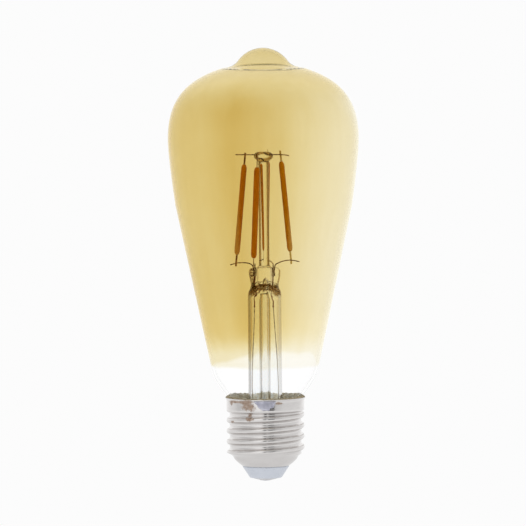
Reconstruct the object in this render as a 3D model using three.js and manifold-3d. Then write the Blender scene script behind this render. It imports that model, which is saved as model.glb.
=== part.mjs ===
// A smart filament lamp: a 64 mm pear-shaped bulb with a glass mount that carries four LED filaments,
// on an E27 screw cap that holds the driver and its radio.
// Millimetres, +Z up. The origin is the underside of the centre contact, and -Y is the front.
import * as THREE from "three";
import { mergeVertices } from "three/addons/utils/BufferGeometryUtils.js";
import Module from "manifold-3d";

const wasm = await Module();
wasm.setup();

// ---- Driving dimensions -------------------------------------------------------------------------

const LAMP_HEIGHT = 145.2;
const ROUND = 36; // facets round every solid on the lamp's axis, so that neighbours' facets line up
const FIT = 0.1; // gap between pieces that touch

// Bulb
const BULB_RADIUS = 32;
const EQUATOR_Z = 114.9;
const GLASS_WALL = 0.9;
const CROWN_RADIUS = 10.2; // the small dome on top
const CROWN_SWEEP = THREE.MathUtils.degToRad(54);
const SHOULDER = new THREE.Vector2(14, 138.35);
const SHOULDER_SLOPE = -0.326;
const CONE_SLOPE = 0.2134; // gain in radius for each millimetre of height
const CONE_FOOT = new THREE.Vector2(17.9, 37.6);
const CONE_TOP_Z = 91.9;
const NECK_RADIUS = 10.9;
const NECK_START_Z = 24.6;
const NECK_END_Z = 21;

// E27 screw cap
const CAP_RIM_Z = 28.1;
const RIM_RADIUS = 13.5;
const CREST_RADIUS = 13.1;
const THREAD_PITCH = 3.629; // 7 turns to the inch
const THREAD_ARC = 1.025; // the crests and the roots are equal arcs
const CREST_AT_LEFT_Z = 20.5; // height of one crest on the -X side
const THREAD_FADE = [22.7, 24.2]; // the groove runs out between these heights
const SHEET = 0.3;
const LIP_RADIUS = 8;
const LIP_Z = 5.15;

// Insulator and centre contact
const CONTACT_RADIUS = 4.95;
const CONTACT_DOME = 12;
const INSULATOR_BOTTOM = 1.08;

// Glass mount
const TUBE_RADIUS = 5.65;
const FLARE_START_Z = 31;
const PRESS_TOP_Z = 71.9;
const PRESS_FLOOR_Z = 62.6; // top of the hollow in the mount tube
const PRESS_SCALE = [0.92, 0.36]; // the tube's section is squeezed by this in X and Y
const WAIST_SCALE = 0.81; // and by this in X at its narrowest, just below the press
const PRESS_PINCH = [60.5, 65, 69]; // tube, waist and press
const POST_RADIUS = 1.74;
const BEAD_Z = 108.9;
const BEAD_RADIUS = 3.25;
const EXHAUST_RADIUS = 1.9;
const EXHAUST_TIP_Z = 17.2;

// Wires
const SUPPORT_WIRE = 0.2;
const SEAL_WIRE = 0.2;
const SUPPLY_WIRE = 0.15;
const MAINS_WIRE = 0.25;
const SEAL_X = { left: -3.4, right: 3.25 };
const SEAL_Z = [58.7, 68.7];
const LEAD_PITCH = 0.5; // the lead and its branch wire enter the press side by side

// LED filaments, 38 mm long over their tabs
const FILAMENT_LENGTH = 38.2;
const TAB_LENGTH = 3.9;
const TAB = [0.62, 0.24];
const CARRIER = [0.8, 0.4];
const COATING = [1.7, 1.5];

// Driver, inside the cap
const BOARD_Z = 15;
const BOARD_THICKNESS = 1;
const BOARD_RADIUS = 10.4;
const BOARD_TOP_Z = BOARD_Z + BOARD_THICKNESS;

// ---- Materials ----------------------------------------------------------------------------------

const finish = (color, roughness, metalness = 0, opacity = 1) =>
  new THREE.MeshStandardMaterial({ color, roughness, metalness, opacity, transparent: opacity < 1 });

const amberGlass = finish(0xdcc06a, 0.05, 0, 0.4);
const clearGlass = finish(0xf4f4ec, 0.05, 0, 0.35);
const phosphor = finish(0xb25f0a, 0.55);
const substrate = finish(0xe8e4d8, 0.5);
const nickel = finish(0xcfcac4, 0.25, 1);
const wireMetal = finish(0x8d8478, 0.4, 1);
const dumet = finish(0x8c4a26, 0.4, 1);
const copper = finish(0xb87333, 0.35, 1);
const solder = finish(0xa9a9b4, 0.4, 1);
const whitePlastic = finish(0xd3d5da, 0.5);
const cement = finish(0x9b9680, 0.9);
const boardGreen = finish(0x2f6b46, 0.5);
const boardBlack = finish(0x23272b, 0.5);
const blackPlastic = finish(0x1e1e20, 0.5);
const sleeveFilm = finish(0xc9a25a, 0.35);
const capacitorSleeve = finish(0x2b2f3c, 0.35);
const ferrite = finish(0x3a3b3d, 0.6);
const resistorBlue = finish(0x6f8f9c, 0.5);
const filmYellow = finish(0xc79a2a, 0.45);
const ceramic = finish(0xbcae92, 0.6);

// ---- Shape helpers ------------------------------------------------------------------------------

const vec = (x, y, z) => new THREE.Vector3(x, y, z);
const smooth = THREE.MathUtils.smoothstep;

function toSolid(geometry) {
  const bare = geometry.clone();
  bare.deleteAttribute("normal");
  bare.deleteAttribute("uv");
  const merged = mergeVertices(bare, 1e-4);
  return new wasm.Manifold(
    new wasm.Mesh({
      numProp: 3,
      vertProperties: merged.attributes.position.array,
      triVerts: new Uint32Array(merged.index.array),
    }),
  );
}

function toGeometry(solid) {
  const { vertProperties, triVerts } = solid.getMesh();
  const geometry = new THREE.BufferGeometry();
  geometry.setAttribute("position", new THREE.BufferAttribute(vertProperties, 3));
  geometry.setIndex(new THREE.BufferAttribute(triVerts, 1));
  geometry.computeVertexNormals();
  return geometry;
}

const cut = (body, ...tools) =>
  toGeometry(tools.reduce((left, tool) => left.subtract(toSolid(tool)), toSolid(body)));
const join = (...bodies) =>
  toGeometry(bodies.slice(1).reduce((sum, body) => sum.add(toSolid(body)), toSolid(bodies[0])));
const common = (a, b) => toGeometry(toSolid(a).intersect(toSolid(b)));

// A profile of [radius, z] pairs, or of Vector2s, listed from its top down its outside, turned about Z.
function turned(profile, segments = ROUND) {
  const points = profile.map((p) => (p.isVector2 ? p : new THREE.Vector2(...p)));
  return new THREE.LatheGeometry([...points].reverse(), segments).rotateX(Math.PI / 2);
}

const rod = (radius, low, high, segments = 16) =>
  turned([[0, high], [radius, high], [radius, low], [0, low]], segments);
const ring = (inner, outer, low, high, segments = ROUND) =>
  turned([[inner, high], [outer, high], [outer, low], [inner, low], [inner, high]], segments);
const block = (width, depth, height, x, y, z) =>
  new THREE.BoxGeometry(width, depth, height).translate(x, y, z + height / 2);

// A round wire along a smooth curve through the points.
function wire(points, radius, steps = 5 * points.length, sides = 8) {
  const section = new THREE.Shape();
  for (let i = 0; i < sides; i++) {
    const angle = (2 * Math.PI * i) / sides;
    const [x, y] = [radius * Math.cos(angle), radius * Math.sin(angle)];
    if (i === 0) section.moveTo(x, y);
    else section.lineTo(x, y);
  }
  const extrudePath = new THREE.CatmullRomCurve3(points, false, "centripetal");
  return new THREE.ExtrudeGeometry(section, { steps, extrudePath, bevelEnabled: false });
}

// The points moved sideways by a distance, to the right of the way they run.
function offset(points, distance) {
  return points.map((point, i) => {
    const before = points[Math.max(i - 1, 0)];
    const after = points[Math.min(i + 1, points.length - 1)];
    const along = after.clone().sub(before).normalize();
    if (point.x === 0) along.set(1, 0); // a profile leaves the axis square to it
    return new THREE.Vector2(point.x + along.y * distance, point.y - along.x * distance);
  });
}

// Continues a path to a point, leaving along one slope and arriving along another.
function bendTo(path, leave, leaveReach, end, arrive, arriveReach) {
  const start = path.currentPoint;
  const out = leave.clone().normalize().multiplyScalar(leaveReach);
  const back = arrive.clone().normalize().multiplyScalar(arriveReach);
  path.bezierCurveTo(start.x + out.x, start.y + out.y, end.x - back.x, end.y - back.y, end.x, end.y);
}

// ---- Bulb ---------------------------------------------------------------------------------------

const DOWN = new THREE.Vector2(0, -1);
const DOWN_CONE = new THREE.Vector2(-CONE_SLOPE, -1);

// The bulb's outer profile, from the top of its crown to the end of its neck.
function bulbOutline() {
  const crownEnd = Math.PI / 2 - CROWN_SWEEP;
  const path = new THREE.Path();
  path.absarc(0, LAMP_HEIGHT - CROWN_RADIUS, CROWN_RADIUS, Math.PI / 2, crownEnd, true);
  path.currentPoint.set(
    CROWN_RADIUS * Math.cos(crownEnd),
    LAMP_HEIGHT - CROWN_RADIUS + CROWN_RADIUS * Math.sin(crownEnd),
  );
  const crownSide = new THREE.Vector2(Math.sin(crownEnd), -Math.cos(crownEnd));
  const shoulderWay = new THREE.Vector2(1, SHOULDER_SLOPE);
  const coneTop = new THREE.Vector2(CONE_FOOT.x + CONE_SLOPE * (CONE_TOP_Z - CONE_FOOT.y), CONE_TOP_Z);
  bendTo(path, crownSide, 3.2, SHOULDER, shoulderWay, 0.5);
  bendTo(path, shoulderWay, 11.1, new THREE.Vector2(BULB_RADIUS, EQUATOR_Z), DOWN, 14.3);
  bendTo(path, DOWN, 6.2, coneTop, DOWN_CONE, 1);
  path.lineTo(CONE_FOOT.x, CONE_FOOT.y);
  bendTo(path, DOWN_CONE, 6, new THREE.Vector2(NECK_RADIUS, NECK_START_Z), DOWN, 3.4);
  path.lineTo(NECK_RADIUS, NECK_END_Z);
  return path.getPoints(5);
}

const outline = bulbOutline();
outline[0].x = 0;

function glassEnvelope() {
  const inside = offset(outline, GLASS_WALL);
  inside.at(-1).y = NECK_END_Z;
  return turned([...outline, ...inside.reverse()]);
}

// ---- Glass mount --------------------------------------------------------------------------------

// Squeezes a tube to the flat press at its top.
function press(geometry) {
  const [tube, waist, full] = PRESS_PINCH;
  const position = geometry.attributes.position;
  for (let i = 0; i < position.count; i++) {
    const share = smooth(position.getZ(i), tube, waist);
    const spread = smooth(position.getZ(i), waist, full) * (PRESS_SCALE[0] - WAIST_SCALE);
    position.setX(i, position.getX(i) * (THREE.MathUtils.lerp(1, WAIST_SCALE, share) + spread));
    position.setY(i, position.getY(i) * THREE.MathUtils.lerp(1, PRESS_SCALE[1], share));
  }
  return geometry;
}

// The mount tube: a flare that closes the bulb's neck, a tube, and a press that the leads pass through.
function mountTube() {
  const rimZ = NECK_END_Z - FIT;
  const outside = new THREE.Path();
  outside.moveTo(TUBE_RADIUS, FLARE_START_Z);
  outside.bezierCurveTo(TUBE_RADIUS, 26.5, 7, 22.1, 9.6, rimZ);
  const flare = outside.getPoints(6);
  const inside = offset(flare, GLASS_WALL);
  inside[0].set(TUBE_RADIUS - GLASS_WALL, FLARE_START_Z);
  inside.at(-1).set(9.6, rimZ - GLASS_WALL);
  const bore = TUBE_RADIUS - GLASS_WALL;
  const pinchRows = [PRESS_TOP_Z - 0.6, 68, 65, 63.9, 62.8, 61.7, PRESS_PINCH[0]];
  const body = turned([
    [0, PRESS_TOP_Z],
    [TUBE_RADIUS - 0.6, PRESS_TOP_Z],
    ...pinchRows.map((z) => [TUBE_RADIUS, z]),
    ...flare,
    [NECK_RADIUS, rimZ],
    [NECK_RADIUS, rimZ - GLASS_WALL],
    ...inside.reverse(),
    [bore, PRESS_PINCH[0]],
    [bore, 61.7],
    [bore - 1.2, PRESS_FLOOR_Z],
    [0, PRESS_FLOOR_Z],
  ]);
  const seals = Object.values(SEAL_X).flatMap((x) => [
    rod(SEAL_WIRE + 2 * FIT, PRESS_FLOOR_Z - 2, SEAL_Z[1] + FIT, 8).translate(x, 0, 0),
    rod(LEAD_PITCH + 2 * FIT, SEAL_Z[1], PRESS_TOP_Z + 1, 12).translate(x, 0, 0),
  ]);
  const ventUp = rod(0.9, PRESS_FLOOR_Z - 1, 67.6, 12);
  const ventOut = new THREE.CylinderGeometry(0.8, 0.8, 4, 12).translate(0, -2, 0).translate(0, 0, 66.8);
  return cut(press(body), ...seals, ventUp, ventOut);
}

// The exhaust tube, open at its top and sealed to a tip at its foot.
function exhaustTube() {
  const bore = EXHAUST_RADIUS - 0.8;
  const top = PRESS_FLOOR_Z - FIT;
  return turned(
    [
      [bore, top],
      [EXHAUST_RADIUS, top],
      [EXHAUST_RADIUS, 21],
      [1.3, 18.6],
      [0.5, EXHAUST_TIP_Z + 0.2],
      [0, EXHAUST_TIP_Z],
      [0, 19.5],
      [bore, 22],
      [bore, top],
    ],
    20,
  );
}

// The glass post, with the bead at its top that grips the cross wires.
function mountPost() {
  const half = 1.55;
  const body = turned(
    [
      [0, BEAD_Z + half],
      [BEAD_RADIUS - 1, BEAD_Z + half],
      [BEAD_RADIUS - 0.2, BEAD_Z + half - 0.5],
      [BEAD_RADIUS, BEAD_Z],
      [BEAD_RADIUS - 0.3, BEAD_Z - half + 0.6],
      [BEAD_RADIUS - 1, BEAD_Z - half + 0.1],
      [POST_RADIUS, BEAD_Z - half - 0.4],
      [POST_RADIUS, PRESS_TOP_Z + FIT],
      [0, PRESS_TOP_Z + FIT],
    ],
    20,
  );
  const grips = [crossWireRoute, depthWireRoute].map((route) => wire(route, SUPPORT_WIRE + 2 * FIT, 12));
  return cut(body, ...grips);
}

// ---- Wires --------------------------------------------------------------------------------------

const crossWireRoute = [
  vec(-9.35, 0, 109.5),
  vec(-5, 0, 109.45),
  vec(0, 0, 109.4),
  vec(5, 0, 109.4),
  vec(7.4, 0, 109.25),
  vec(8.6, 0, 109),
];
const depthWireRoute = [
  vec(-2.3, -8.4, 108.35),
  vec(-1.5, -5.6, 108.4),
  vec(0, 0, 108.3),
  vec(0.9, 5.9, 108.4),
  vec(1.3, 8.5, 108.3),
];
const leftLeadRoute = [
  vec(SEAL_X.left - LEAD_PITCH / 2, 0, SEAL_Z[1] + FIT),
  vec(SEAL_X.left - LEAD_PITCH / 2, 0, 71.5),
  vec(-4.05, -0.1, 72.4),
  vec(-5, -0.25, 73),
  vec(-7.2, -0.3, 73.3),
  vec(-9.4, -0.3, 73.15),
  vec(-11.4, -0.3, 72.6),
];
const rightLeadRoute = [
  vec(SEAL_X.right + LEAD_PITCH / 2, 0, SEAL_Z[1] + FIT),
  vec(SEAL_X.right + LEAD_PITCH / 2, 0, 71.6),
  vec(3.75, 0, 72.5),
  vec(4.9, 0.05, 73.2),
  vec(7, 0.05, 73.85),
  vec(9.1, 0, 74),
  vec(11.8, -0.1, 73.5),
];
const frontBranchRoute = [
  vec(SEAL_X.left + LEAD_PITCH / 2, 0, SEAL_Z[1] + FIT),
  vec(SEAL_X.left + LEAD_PITCH / 2, 0, 71.8),
  vec(-3.15, -0.5, 72.6),
  vec(-3.15, -3, 73),
  vec(-3.1, -6.5, 73.1),
  vec(-3.05, -10.6, 73.1),
];
const backBranchRoute = [
  vec(SEAL_X.right - LEAD_PITCH / 2, 0, SEAL_Z[1] + FIT),
  vec(SEAL_X.right - LEAD_PITCH / 2, 0, 71.8),
  vec(2.95, 0.5, 72.6),
  vec(2.5, 2.6, 73.2),
  vec(1.8, 5.2, 73.6),
  vec(1.15, 8, 73.9),
  vec(0.9, 10.6, 73.9),
];
const leftSupplyRoute = [
  vec(SEAL_X.left, 0, SEAL_Z[0] - FIT),
  vec(-3.6, 0, 52),
  vec(-4.1, 0, 42),
  vec(-4.4, 0, 33),
  vec(-4.4, 0.5, 24),
  vec(-4.9, 1.2, BOARD_TOP_Z + FIT),
];
const rightSupplyRoute = [
  vec(SEAL_X.right, 0, SEAL_Z[0] - FIT),
  vec(3.4, 0, 51),
  vec(4.1, 0, 41),
  vec(4.45, 0, 33),
  vec(4.5, -0.5, 24),
  vec(5.2, -1.4, BOARD_TOP_Z + FIT),
];
// From the driver, up between the neck and the shell, over the rim to the solder on the skirt.
const shellWireRoute = [
  vec(-0.3, -10, BOARD_TOP_Z + FIT),
  vec(-0.3, -10.2, 17.2),
  vec(-0.3, -11.35, 20),
  vec(-0.3, -11.5, 23),
  vec(-0.3, -12.05, 26),
  vec(-0.3, -12.8, 28),
  vec(-0.3, -13.35, 28.55),
  vec(-0.3, -13.95, 28.2),
  vec(-0.3, -13.95, 27.6),
  vec(-0.3, -13.5, 27.1),
];
// From the fuse resistor, through the insulator's cup, to the solder in the centre contact.
const contactWireRoute = [
  vec(7.3, 0, 8.8),
  vec(7.2, 0, 8.1),
  vec(6.5, 0, 6.6),
  vec(5.3, 0, 4.9),
  vec(3.4, 0, 3.4),
  vec(1.3, 0, 3.15),
  vec(0.3, 0, 2.5),
  vec(0, 0, 1.4),
];
const antennaRoute = [
  vec(-2.9, 4.3, 17.1),
  vec(-2.95, 3.9, 19),
  vec(-2.4, 3.4, 22.5),
  vec(-1.9, 3.1, 26.2),
];

// ---- Filaments ----------------------------------------------------------------------------------

// Where each filament's tabs end, and the way their flat faces run: along the wires they are welded to.
const filaments = {
  left: { foot: vec(-9.52, -0.68, 72.1), head: vec(-6.05, -0.38, 110.3), turn: 0 },
  right: { foot: vec(9.1, 0.42, 72.7), head: vec(5.58, 0.38, 111), turn: 0 },
  front: { foot: vec(-3.62, -9.1, 72.2), head: vec(-1.97, -5.7, 110.05), turn: THREE.MathUtils.degToRad(78) },
  back: { foot: vec(0.56, 9.4, 72.9), head: vec(1.42, 5.9, 110.9), turn: THREE.MathUtils.degToRad(86) },
};

// The silicone coating: a rounded rod with a slot along it for the carrier.
function filamentCoating(length) {
  const blunt = [
    [0.45, length / 2],
    [0.75, length / 2 - 0.25],
    [0.95, length / 2 - 0.9],
    [1, length / 2 - 1.8],
  ];
  const half = blunt.map(([share, z]) => [(share * COATING[0]) / 2, z]);
  const mirrored = [...half].reverse().map(([r, z]) => [r, -z]);
  const body = turned([[0, length / 2], ...half, ...mirrored, [0, -length / 2]], 12);
  body.scale(1, COATING[1] / COATING[0], 1);
  return cut(body, block(CARRIER[0] + FIT, CARRIER[1] + FIT, length + 2, 0, 0, -length / 2 - 1));
}

function filament(side) {
  const { foot, head, turn } = filaments[side];
  const along = head.clone().sub(foot).normalize();
  const strip = FILAMENT_LENGTH - 2 * TAB_LENGTH;
  const group = new THREE.Group();
  group.position.copy(foot);
  group.quaternion.setFromUnitVectors(vec(0, 0, 1), along);
  group.rotateZ(turn);
  const centre = FILAMENT_LENGTH / 2;
  add(group, `filament_${side}_coating`, filamentCoating(strip), phosphor, 0, 0, centre);
  const carrier = new THREE.BoxGeometry(...CARRIER, strip - 2 * FIT);
  add(group, `filament_${side}_carrier`, carrier, substrate, 0, 0, centre);
  for (const [end, z] of [["lower", TAB_LENGTH / 2], ["upper", FILAMENT_LENGTH - TAB_LENGTH / 2]]) {
    const tab = new THREE.BoxGeometry(...TAB, TAB_LENGTH);
    add(group, `filament_${side}_${end}_tab`, tab, nickel, 0, 0, z);
  }
  return group;
}

// ---- Screw cap ----------------------------------------------------------------------------------

// How far the rolled sheet lies inside the crest, at a height along the thread from a crest.
function threadDrop(height) {
  const quarter = THREAD_PITCH / 4;
  const away = Math.abs(THREE.MathUtils.euclideanModulo(height + 2 * quarter, THREAD_PITCH) - 2 * quarter);
  const sag = (distance) => THREAD_ARC - Math.sqrt(THREAD_ARC ** 2 - distance ** 2);
  return away < quarter ? sag(away) : 2 * sag(quarter) - sag(2 * quarter - away);
}

// The crest's height at an angle about +Z from +X: a right-hand helix.
const crestZ = (angle) => CREST_AT_LEFT_Z + (THREAD_PITCH * (angle - Math.PI)) / (2 * Math.PI);

// A solid cup of the shell's shape, smaller by inset all round, with the thread rolled into it.
function rolledCup(inset) {
  const crest = CREST_RADIUS - inset;
  const skirtTop = inset ? [[crest + 0.55, CAP_RIM_Z + 1]] : [];
  const rim = [
    [RIM_RADIUS - inset, CAP_RIM_Z],
    [RIM_RADIUS - inset, CAP_RIM_Z - 0.3],
    [crest, CAP_RIM_Z - 0.95 - inset / 2],
    [crest, 25.6],
  ];
  const rows = Array.from({ length: 25 }, (_, i) => [crest, THREAD_FADE[1] - (i * THREAD_PITCH) / 6]);
  const shoulder = new THREE.SplineCurve(
    [[13.1, 9.6], [11.8, 8.9], [11.05, 8.3], [10.45, 7.3], [9.3, 6.15], [LIP_RADIUS, LIP_Z]].map(
      ([r, z]) => new THREE.Vector2(r, z),
    ),
  ).getPoints(8);
  const foot = offset(shoulder, inset).map((p) => [Math.min(p.x, crest), p.y]);
  const top = (skirtTop[0] ?? rim[0])[1];
  const cup = turned([[0, top], ...skirtTop, ...rim, ...rows, ...foot, [0, foot.at(-1)[1]]]);
  const position = cup.attributes.position;
  for (let i = 0; i < position.count; i++) {
    const [x, y, z] = [position.getX(i), position.getY(i), position.getZ(i)];
    const radius = Math.hypot(x, y);
    if (radius < LIP_RADIUS || z > THREAD_FADE[1]) continue;
    const fade = 1 - smooth(z, ...THREAD_FADE);
    const pressed = crest - fade * threadDrop(z - crestZ(Math.atan2(y, x)));
    const scale = Math.min(1, pressed / radius);
    position.setX(i, x * scale);
    position.setY(i, y * scale);
  }
  return cup;
}

const screwShell = () =>
  cut(rolledCup(0), rolledCup(SHEET), rod(LIP_RADIUS - 0.2, LIP_Z - 1, LIP_Z + 2, ROUND));

// Cement between the neck and the shell's skirt, with a way through for the shell wire.
function basingCement() {
  const low = THREAD_FADE[1] + 0.2;
  const top = CAP_RIM_Z + 0.4;
  const neck = outline.filter((p) => p.y < top + 1);
  const [mouth, outer] = [RIM_RADIUS - SHEET - FIT, CREST_RADIUS - SHEET - FIT];
  const shape = turned([
    [0, top],
    [NECK_RADIUS + 1.7, top],
    [mouth, CAP_RIM_Z - 0.25],
    [outer, CAP_RIM_Z - 1.05],
    [outer, low],
    [0, low],
  ]);
  const glass = turned([[0, neck[0].y], ...offset(neck, -FIT), [0, NECK_END_Z]]);
  return cut(shape, glass, wire(shellWireRoute, MAINS_WIRE + FIT, 40));
}

// The moulded insulator, a cup that closes the foot of the shell and carries the contact.
const insulator = () =>
  turned([
    [8.5, 8.4],
    [9.3, 8.4],
    [9.3, 7.2],
    [8.6, 6.6],
    [7.65, 6.1],
    [7.65, 5.1],
    [7.84, 4.75],
    [5.35, INSULATOR_BOTTOM],
    [CONTACT_RADIUS + FIT, INSULATOR_BOTTOM],
    [CONTACT_RADIUS + FIT, 1.6],
    [1, 1.6],
    [1, 2.6],
    [5.1, 2.6],
    [6.4, 4.8],
    [8.5, 8.4],
  ]);

// The domed contact plate, with a hole that the solder fills.
function centreContact() {
  const dome = (radius) => 0.12 + radius ** 2 / (2 * CONTACT_DOME);
  const radii = [CONTACT_RADIUS, 4.2, 3.4, 2.5, 1.4];
  const thickness = 0.35;
  const under = radii.map((r) => [r, dome(r)]);
  const upper = radii.map((r) => [r, dome(r) + thickness]).reverse();
  return turned([...upper.slice(-1), ...under, ...upper], 24);
}

const contactSolder = () =>
  turned([[0, 1.25], [1.2, 1.25], [1.2, 0.1], [2.1, 0.22], [1.9, 0.06], [1.5, 0], [0, 0]], 24);

// Solder on the front of the skirt: a tapering run below the rim.
function sideSolder() {
  const run = new THREE.Shape();
  run.moveTo(-3.6, 27);
  run.lineTo(2.7, 27);
  run.lineTo(2.5, 25);
  run.lineTo(0.9, 24.3);
  run.lineTo(-0.9, 24.5);
  run.lineTo(-2, 25.4);
  run.closePath();
  const slab = new THREE.ExtrudeGeometry(run, { depth: 20, bevelEnabled: false }).rotateX(Math.PI / 2);
  const skin = ring(CREST_RADIUS + 0.05, CREST_RADIUS + 0.4, 20, 30);
  const wireWay = wire(shellWireRoute, MAINS_WIRE + FIT, 40);
  return toGeometry(toSolid(common(slab, skin)).subtract(toSolid(wireWay)));
}

// ---- Driver -------------------------------------------------------------------------------------

function driverBoard() {
  const holes = [[-4.9, 1.2], [5.2, -1.4], [-0.3, -10]].map(([x, y]) =>
    rod(0.35, BOARD_Z - 1, BOARD_TOP_Z + 1, 8).translate(x, y, 0),
  );
  return cut(rod(BOARD_RADIUS, BOARD_Z, BOARD_TOP_Z, ROUND), ...holes);
}

// A capacitor can with its rolled groove and its two leads, standing between the board and the cup.
function smoothingCapacitor() {
  const [low, high] = [3.9, 14.2];
  const can = turned(
    [[0, high], [3.6, high], [4, high - 0.3], [4, high - 1.2], [3.7, high - 1.6], [4, high - 2],
      [4, low + 0.3], [3.7, low], [0, low]],
    24,
  );
  const leads = [-1.8, 1.8].map((y) => rod(0.25, high - 0.5, BOARD_Z - FIT, 6).translate(0, y, 0));
  return join(can, ...leads).translate(-0.5, 0, 0);
}

const inductorCore = () =>
  turned([[0, 14.8], [2.6, 14.8], [2.6, 13.9], [1.3, 13.9], [1.3, 9.8], [2.6, 9.8], [2.6, 8.9], [0, 8.9]], 20);
const inductorWinding = () => ring(1.3 + FIT, 2.4, 9.8 + FIT, 13.9 - FIT, 20);

// An axial resistor on end, with a lead up to the board.
const fuseResistor = () =>
  join(
    turned([[0, 14.1], [1, 14.1], [1.25, 13.7], [1.25, 13], [1.05, 12.5], [1.05, 10.4], [1.25, 9.9],
      [1.25, 9.2], [1, 8.9], [0, 8.9]], 16),
    rod(0.25, 13.6, BOARD_Z - FIT, 6),
  );

// A chip package with a row of bent leads along each long side.
function driverChip() {
  const underside = BOARD_Z - FIT;
  const leads = [];
  for (const side of [-1, 1]) {
    for (let i = 0; i < 4; i++) {
      const x = (i - 1.5) * 1.27;
      leads.push(block(0.42, 1.1, 0.25, x, side * 2.3, underside - 0.85));
      leads.push(block(0.42, 0.25, 0.85, x, side * 2.72, underside - 0.85));
    }
  }
  return join(block(4.9, 3.9, 1.45, 0, 0, underside - 1.6), ...leads);
}

// ---- Assembly -----------------------------------------------------------------------------------

function add(parent, name, geometry, material, x = 0, y = 0, z = 0) {
  const mesh = new THREE.Mesh(geometry, material);
  mesh.name = name;
  mesh.position.set(x, y, z);
  parent.add(mesh);
  return mesh;
}

const lamp = new THREE.Group();
lamp.name = "smart_filament_lamp";

function addBulbAndMount() {
  add(lamp, "glass_envelope", glassEnvelope(), amberGlass);
  add(lamp, "mount_tube", mountTube(), clearGlass);
  add(lamp, "exhaust_tube", exhaustTube(), clearGlass);
  add(lamp, "mount_post", mountPost(), clearGlass);
}

function addWires() {
  const sealWire = (x) => rod(SEAL_WIRE, ...SEAL_Z, 8).translate(x, 0, 0);
  add(lamp, "cross_wire", wire(crossWireRoute, SUPPORT_WIRE, 10), wireMetal);
  add(lamp, "depth_wire", wire(depthWireRoute, SUPPORT_WIRE, 10), wireMetal);
  add(lamp, "left_lead", wire(leftLeadRoute, SUPPORT_WIRE, 20), wireMetal);
  add(lamp, "right_lead", wire(rightLeadRoute, SUPPORT_WIRE, 20), wireMetal);
  add(lamp, "front_branch_wire", wire(frontBranchRoute, SUPPORT_WIRE, 16), wireMetal);
  add(lamp, "back_branch_wire", wire(backBranchRoute, SUPPORT_WIRE, 18), wireMetal);
  add(lamp, "left_seal_wire", sealWire(SEAL_X.left), dumet);
  add(lamp, "right_seal_wire", sealWire(SEAL_X.right), dumet);
  add(lamp, "left_supply_wire", wire(leftSupplyRoute, SUPPLY_WIRE, 14), copper);
  add(lamp, "right_supply_wire", wire(rightSupplyRoute, SUPPLY_WIRE, 14), copper);
}

function addCap() {
  add(lamp, "screw_shell", screwShell(), nickel);
  add(lamp, "basing_cement", basingCement(), cement);
  add(lamp, "insulator", insulator(), whitePlastic);
  add(lamp, "centre_contact", centreContact(), nickel);
  add(lamp, "contact_solder", contactSolder(), solder);
  add(lamp, "side_solder", sideSolder(), solder);
  add(lamp, "shell_wire", wire(shellWireRoute, MAINS_WIRE - 0.05, 32), copper);
  add(lamp, "contact_wire", wire(contactWireRoute, MAINS_WIRE, 20), copper);
}

function addDriver() {
  const under = BOARD_Z - FIT;
  add(lamp, "insulating_sleeve", ring(11.1, 11.4, 9.7, 18), sleeveFilm);
  add(lamp, "driver_board", driverBoard(), boardGreen);
  add(lamp, "smoothing_capacitor", smoothingCapacitor(), capacitorSleeve);
  add(lamp, "bridge_rectifier", block(3.9, 4.7, 2.4, 0, 0, 0), blackPlastic, -7, 0, under - 2.4);
  add(lamp, "driver_chip", driverChip(), blackPlastic, 0, 7.2, 0);
  add(lamp, "inductor_core", inductorCore(), ferrite, 0, -7, 0);
  add(lamp, "inductor_winding", inductorWinding(), copper, 0, -7, 0);
  add(lamp, "fuse_resistor", fuseResistor(), resistorBlue, 7.3, 0, 0);
  add(lamp, "film_capacitor", block(4.6, 2.4, 4.6, 0, 0, 0), filmYellow, 5.1, -5.6, under - 4.6);
  add(lamp, "sense_resistor", block(3.2, 1.6, 0.6, 0, 0, 0), blackPlastic, -5.6, -5.4, under - 0.6);
}

function addRadio() {
  const boardTop = BOARD_TOP_Z + FIT + 0.8;
  add(lamp, "radio_board", block(9, 6, 0.8, 0, 5.7, BOARD_TOP_Z + FIT), boardBlack);
  add(lamp, "radio_shield", block(5.4, 4.4, 1.4, 1.4, 5.7, boardTop + FIT), nickel);
  add(lamp, "radio_crystal", block(2, 1.6, 0.6, -2.9, 7.4, boardTop + FIT), ceramic);
  add(lamp, "antenna_wire", wire(antennaRoute, SUPPLY_WIRE, 10), copper);
}

addBulbAndMount();
addWires();
for (const side of Object.keys(filaments)) lamp.add(filament(side));
addCap();
addDriver();
addRadio();

export default lamp;
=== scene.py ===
"""Looks for the smart filament lamp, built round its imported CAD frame.

Shapes are written in millimetres and made in metres. +Z runs up the lamp's axis from the centre
contact, and -Y faces the camera.
"""

import math

import bmesh
import bpy
from mathutils import Matrix, Vector, noise


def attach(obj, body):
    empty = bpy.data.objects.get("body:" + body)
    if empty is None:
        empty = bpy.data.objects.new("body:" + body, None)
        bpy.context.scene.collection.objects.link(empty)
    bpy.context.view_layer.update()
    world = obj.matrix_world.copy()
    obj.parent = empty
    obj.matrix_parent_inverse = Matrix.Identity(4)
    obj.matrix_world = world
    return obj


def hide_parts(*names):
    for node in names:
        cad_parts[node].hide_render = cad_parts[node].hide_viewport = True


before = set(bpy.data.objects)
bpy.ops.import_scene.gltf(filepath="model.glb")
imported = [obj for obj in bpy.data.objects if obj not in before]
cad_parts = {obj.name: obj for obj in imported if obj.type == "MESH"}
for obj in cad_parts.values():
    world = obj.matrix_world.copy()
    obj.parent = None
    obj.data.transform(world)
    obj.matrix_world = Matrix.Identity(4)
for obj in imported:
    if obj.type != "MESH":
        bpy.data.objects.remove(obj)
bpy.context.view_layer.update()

MM = 0.001
TAU = 2 * math.pi
BODY = "root"
ON_AXIS = 1e-6  # a radius under this is on the axis

# ---- Dimensions, as in the CAD source ----

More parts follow.
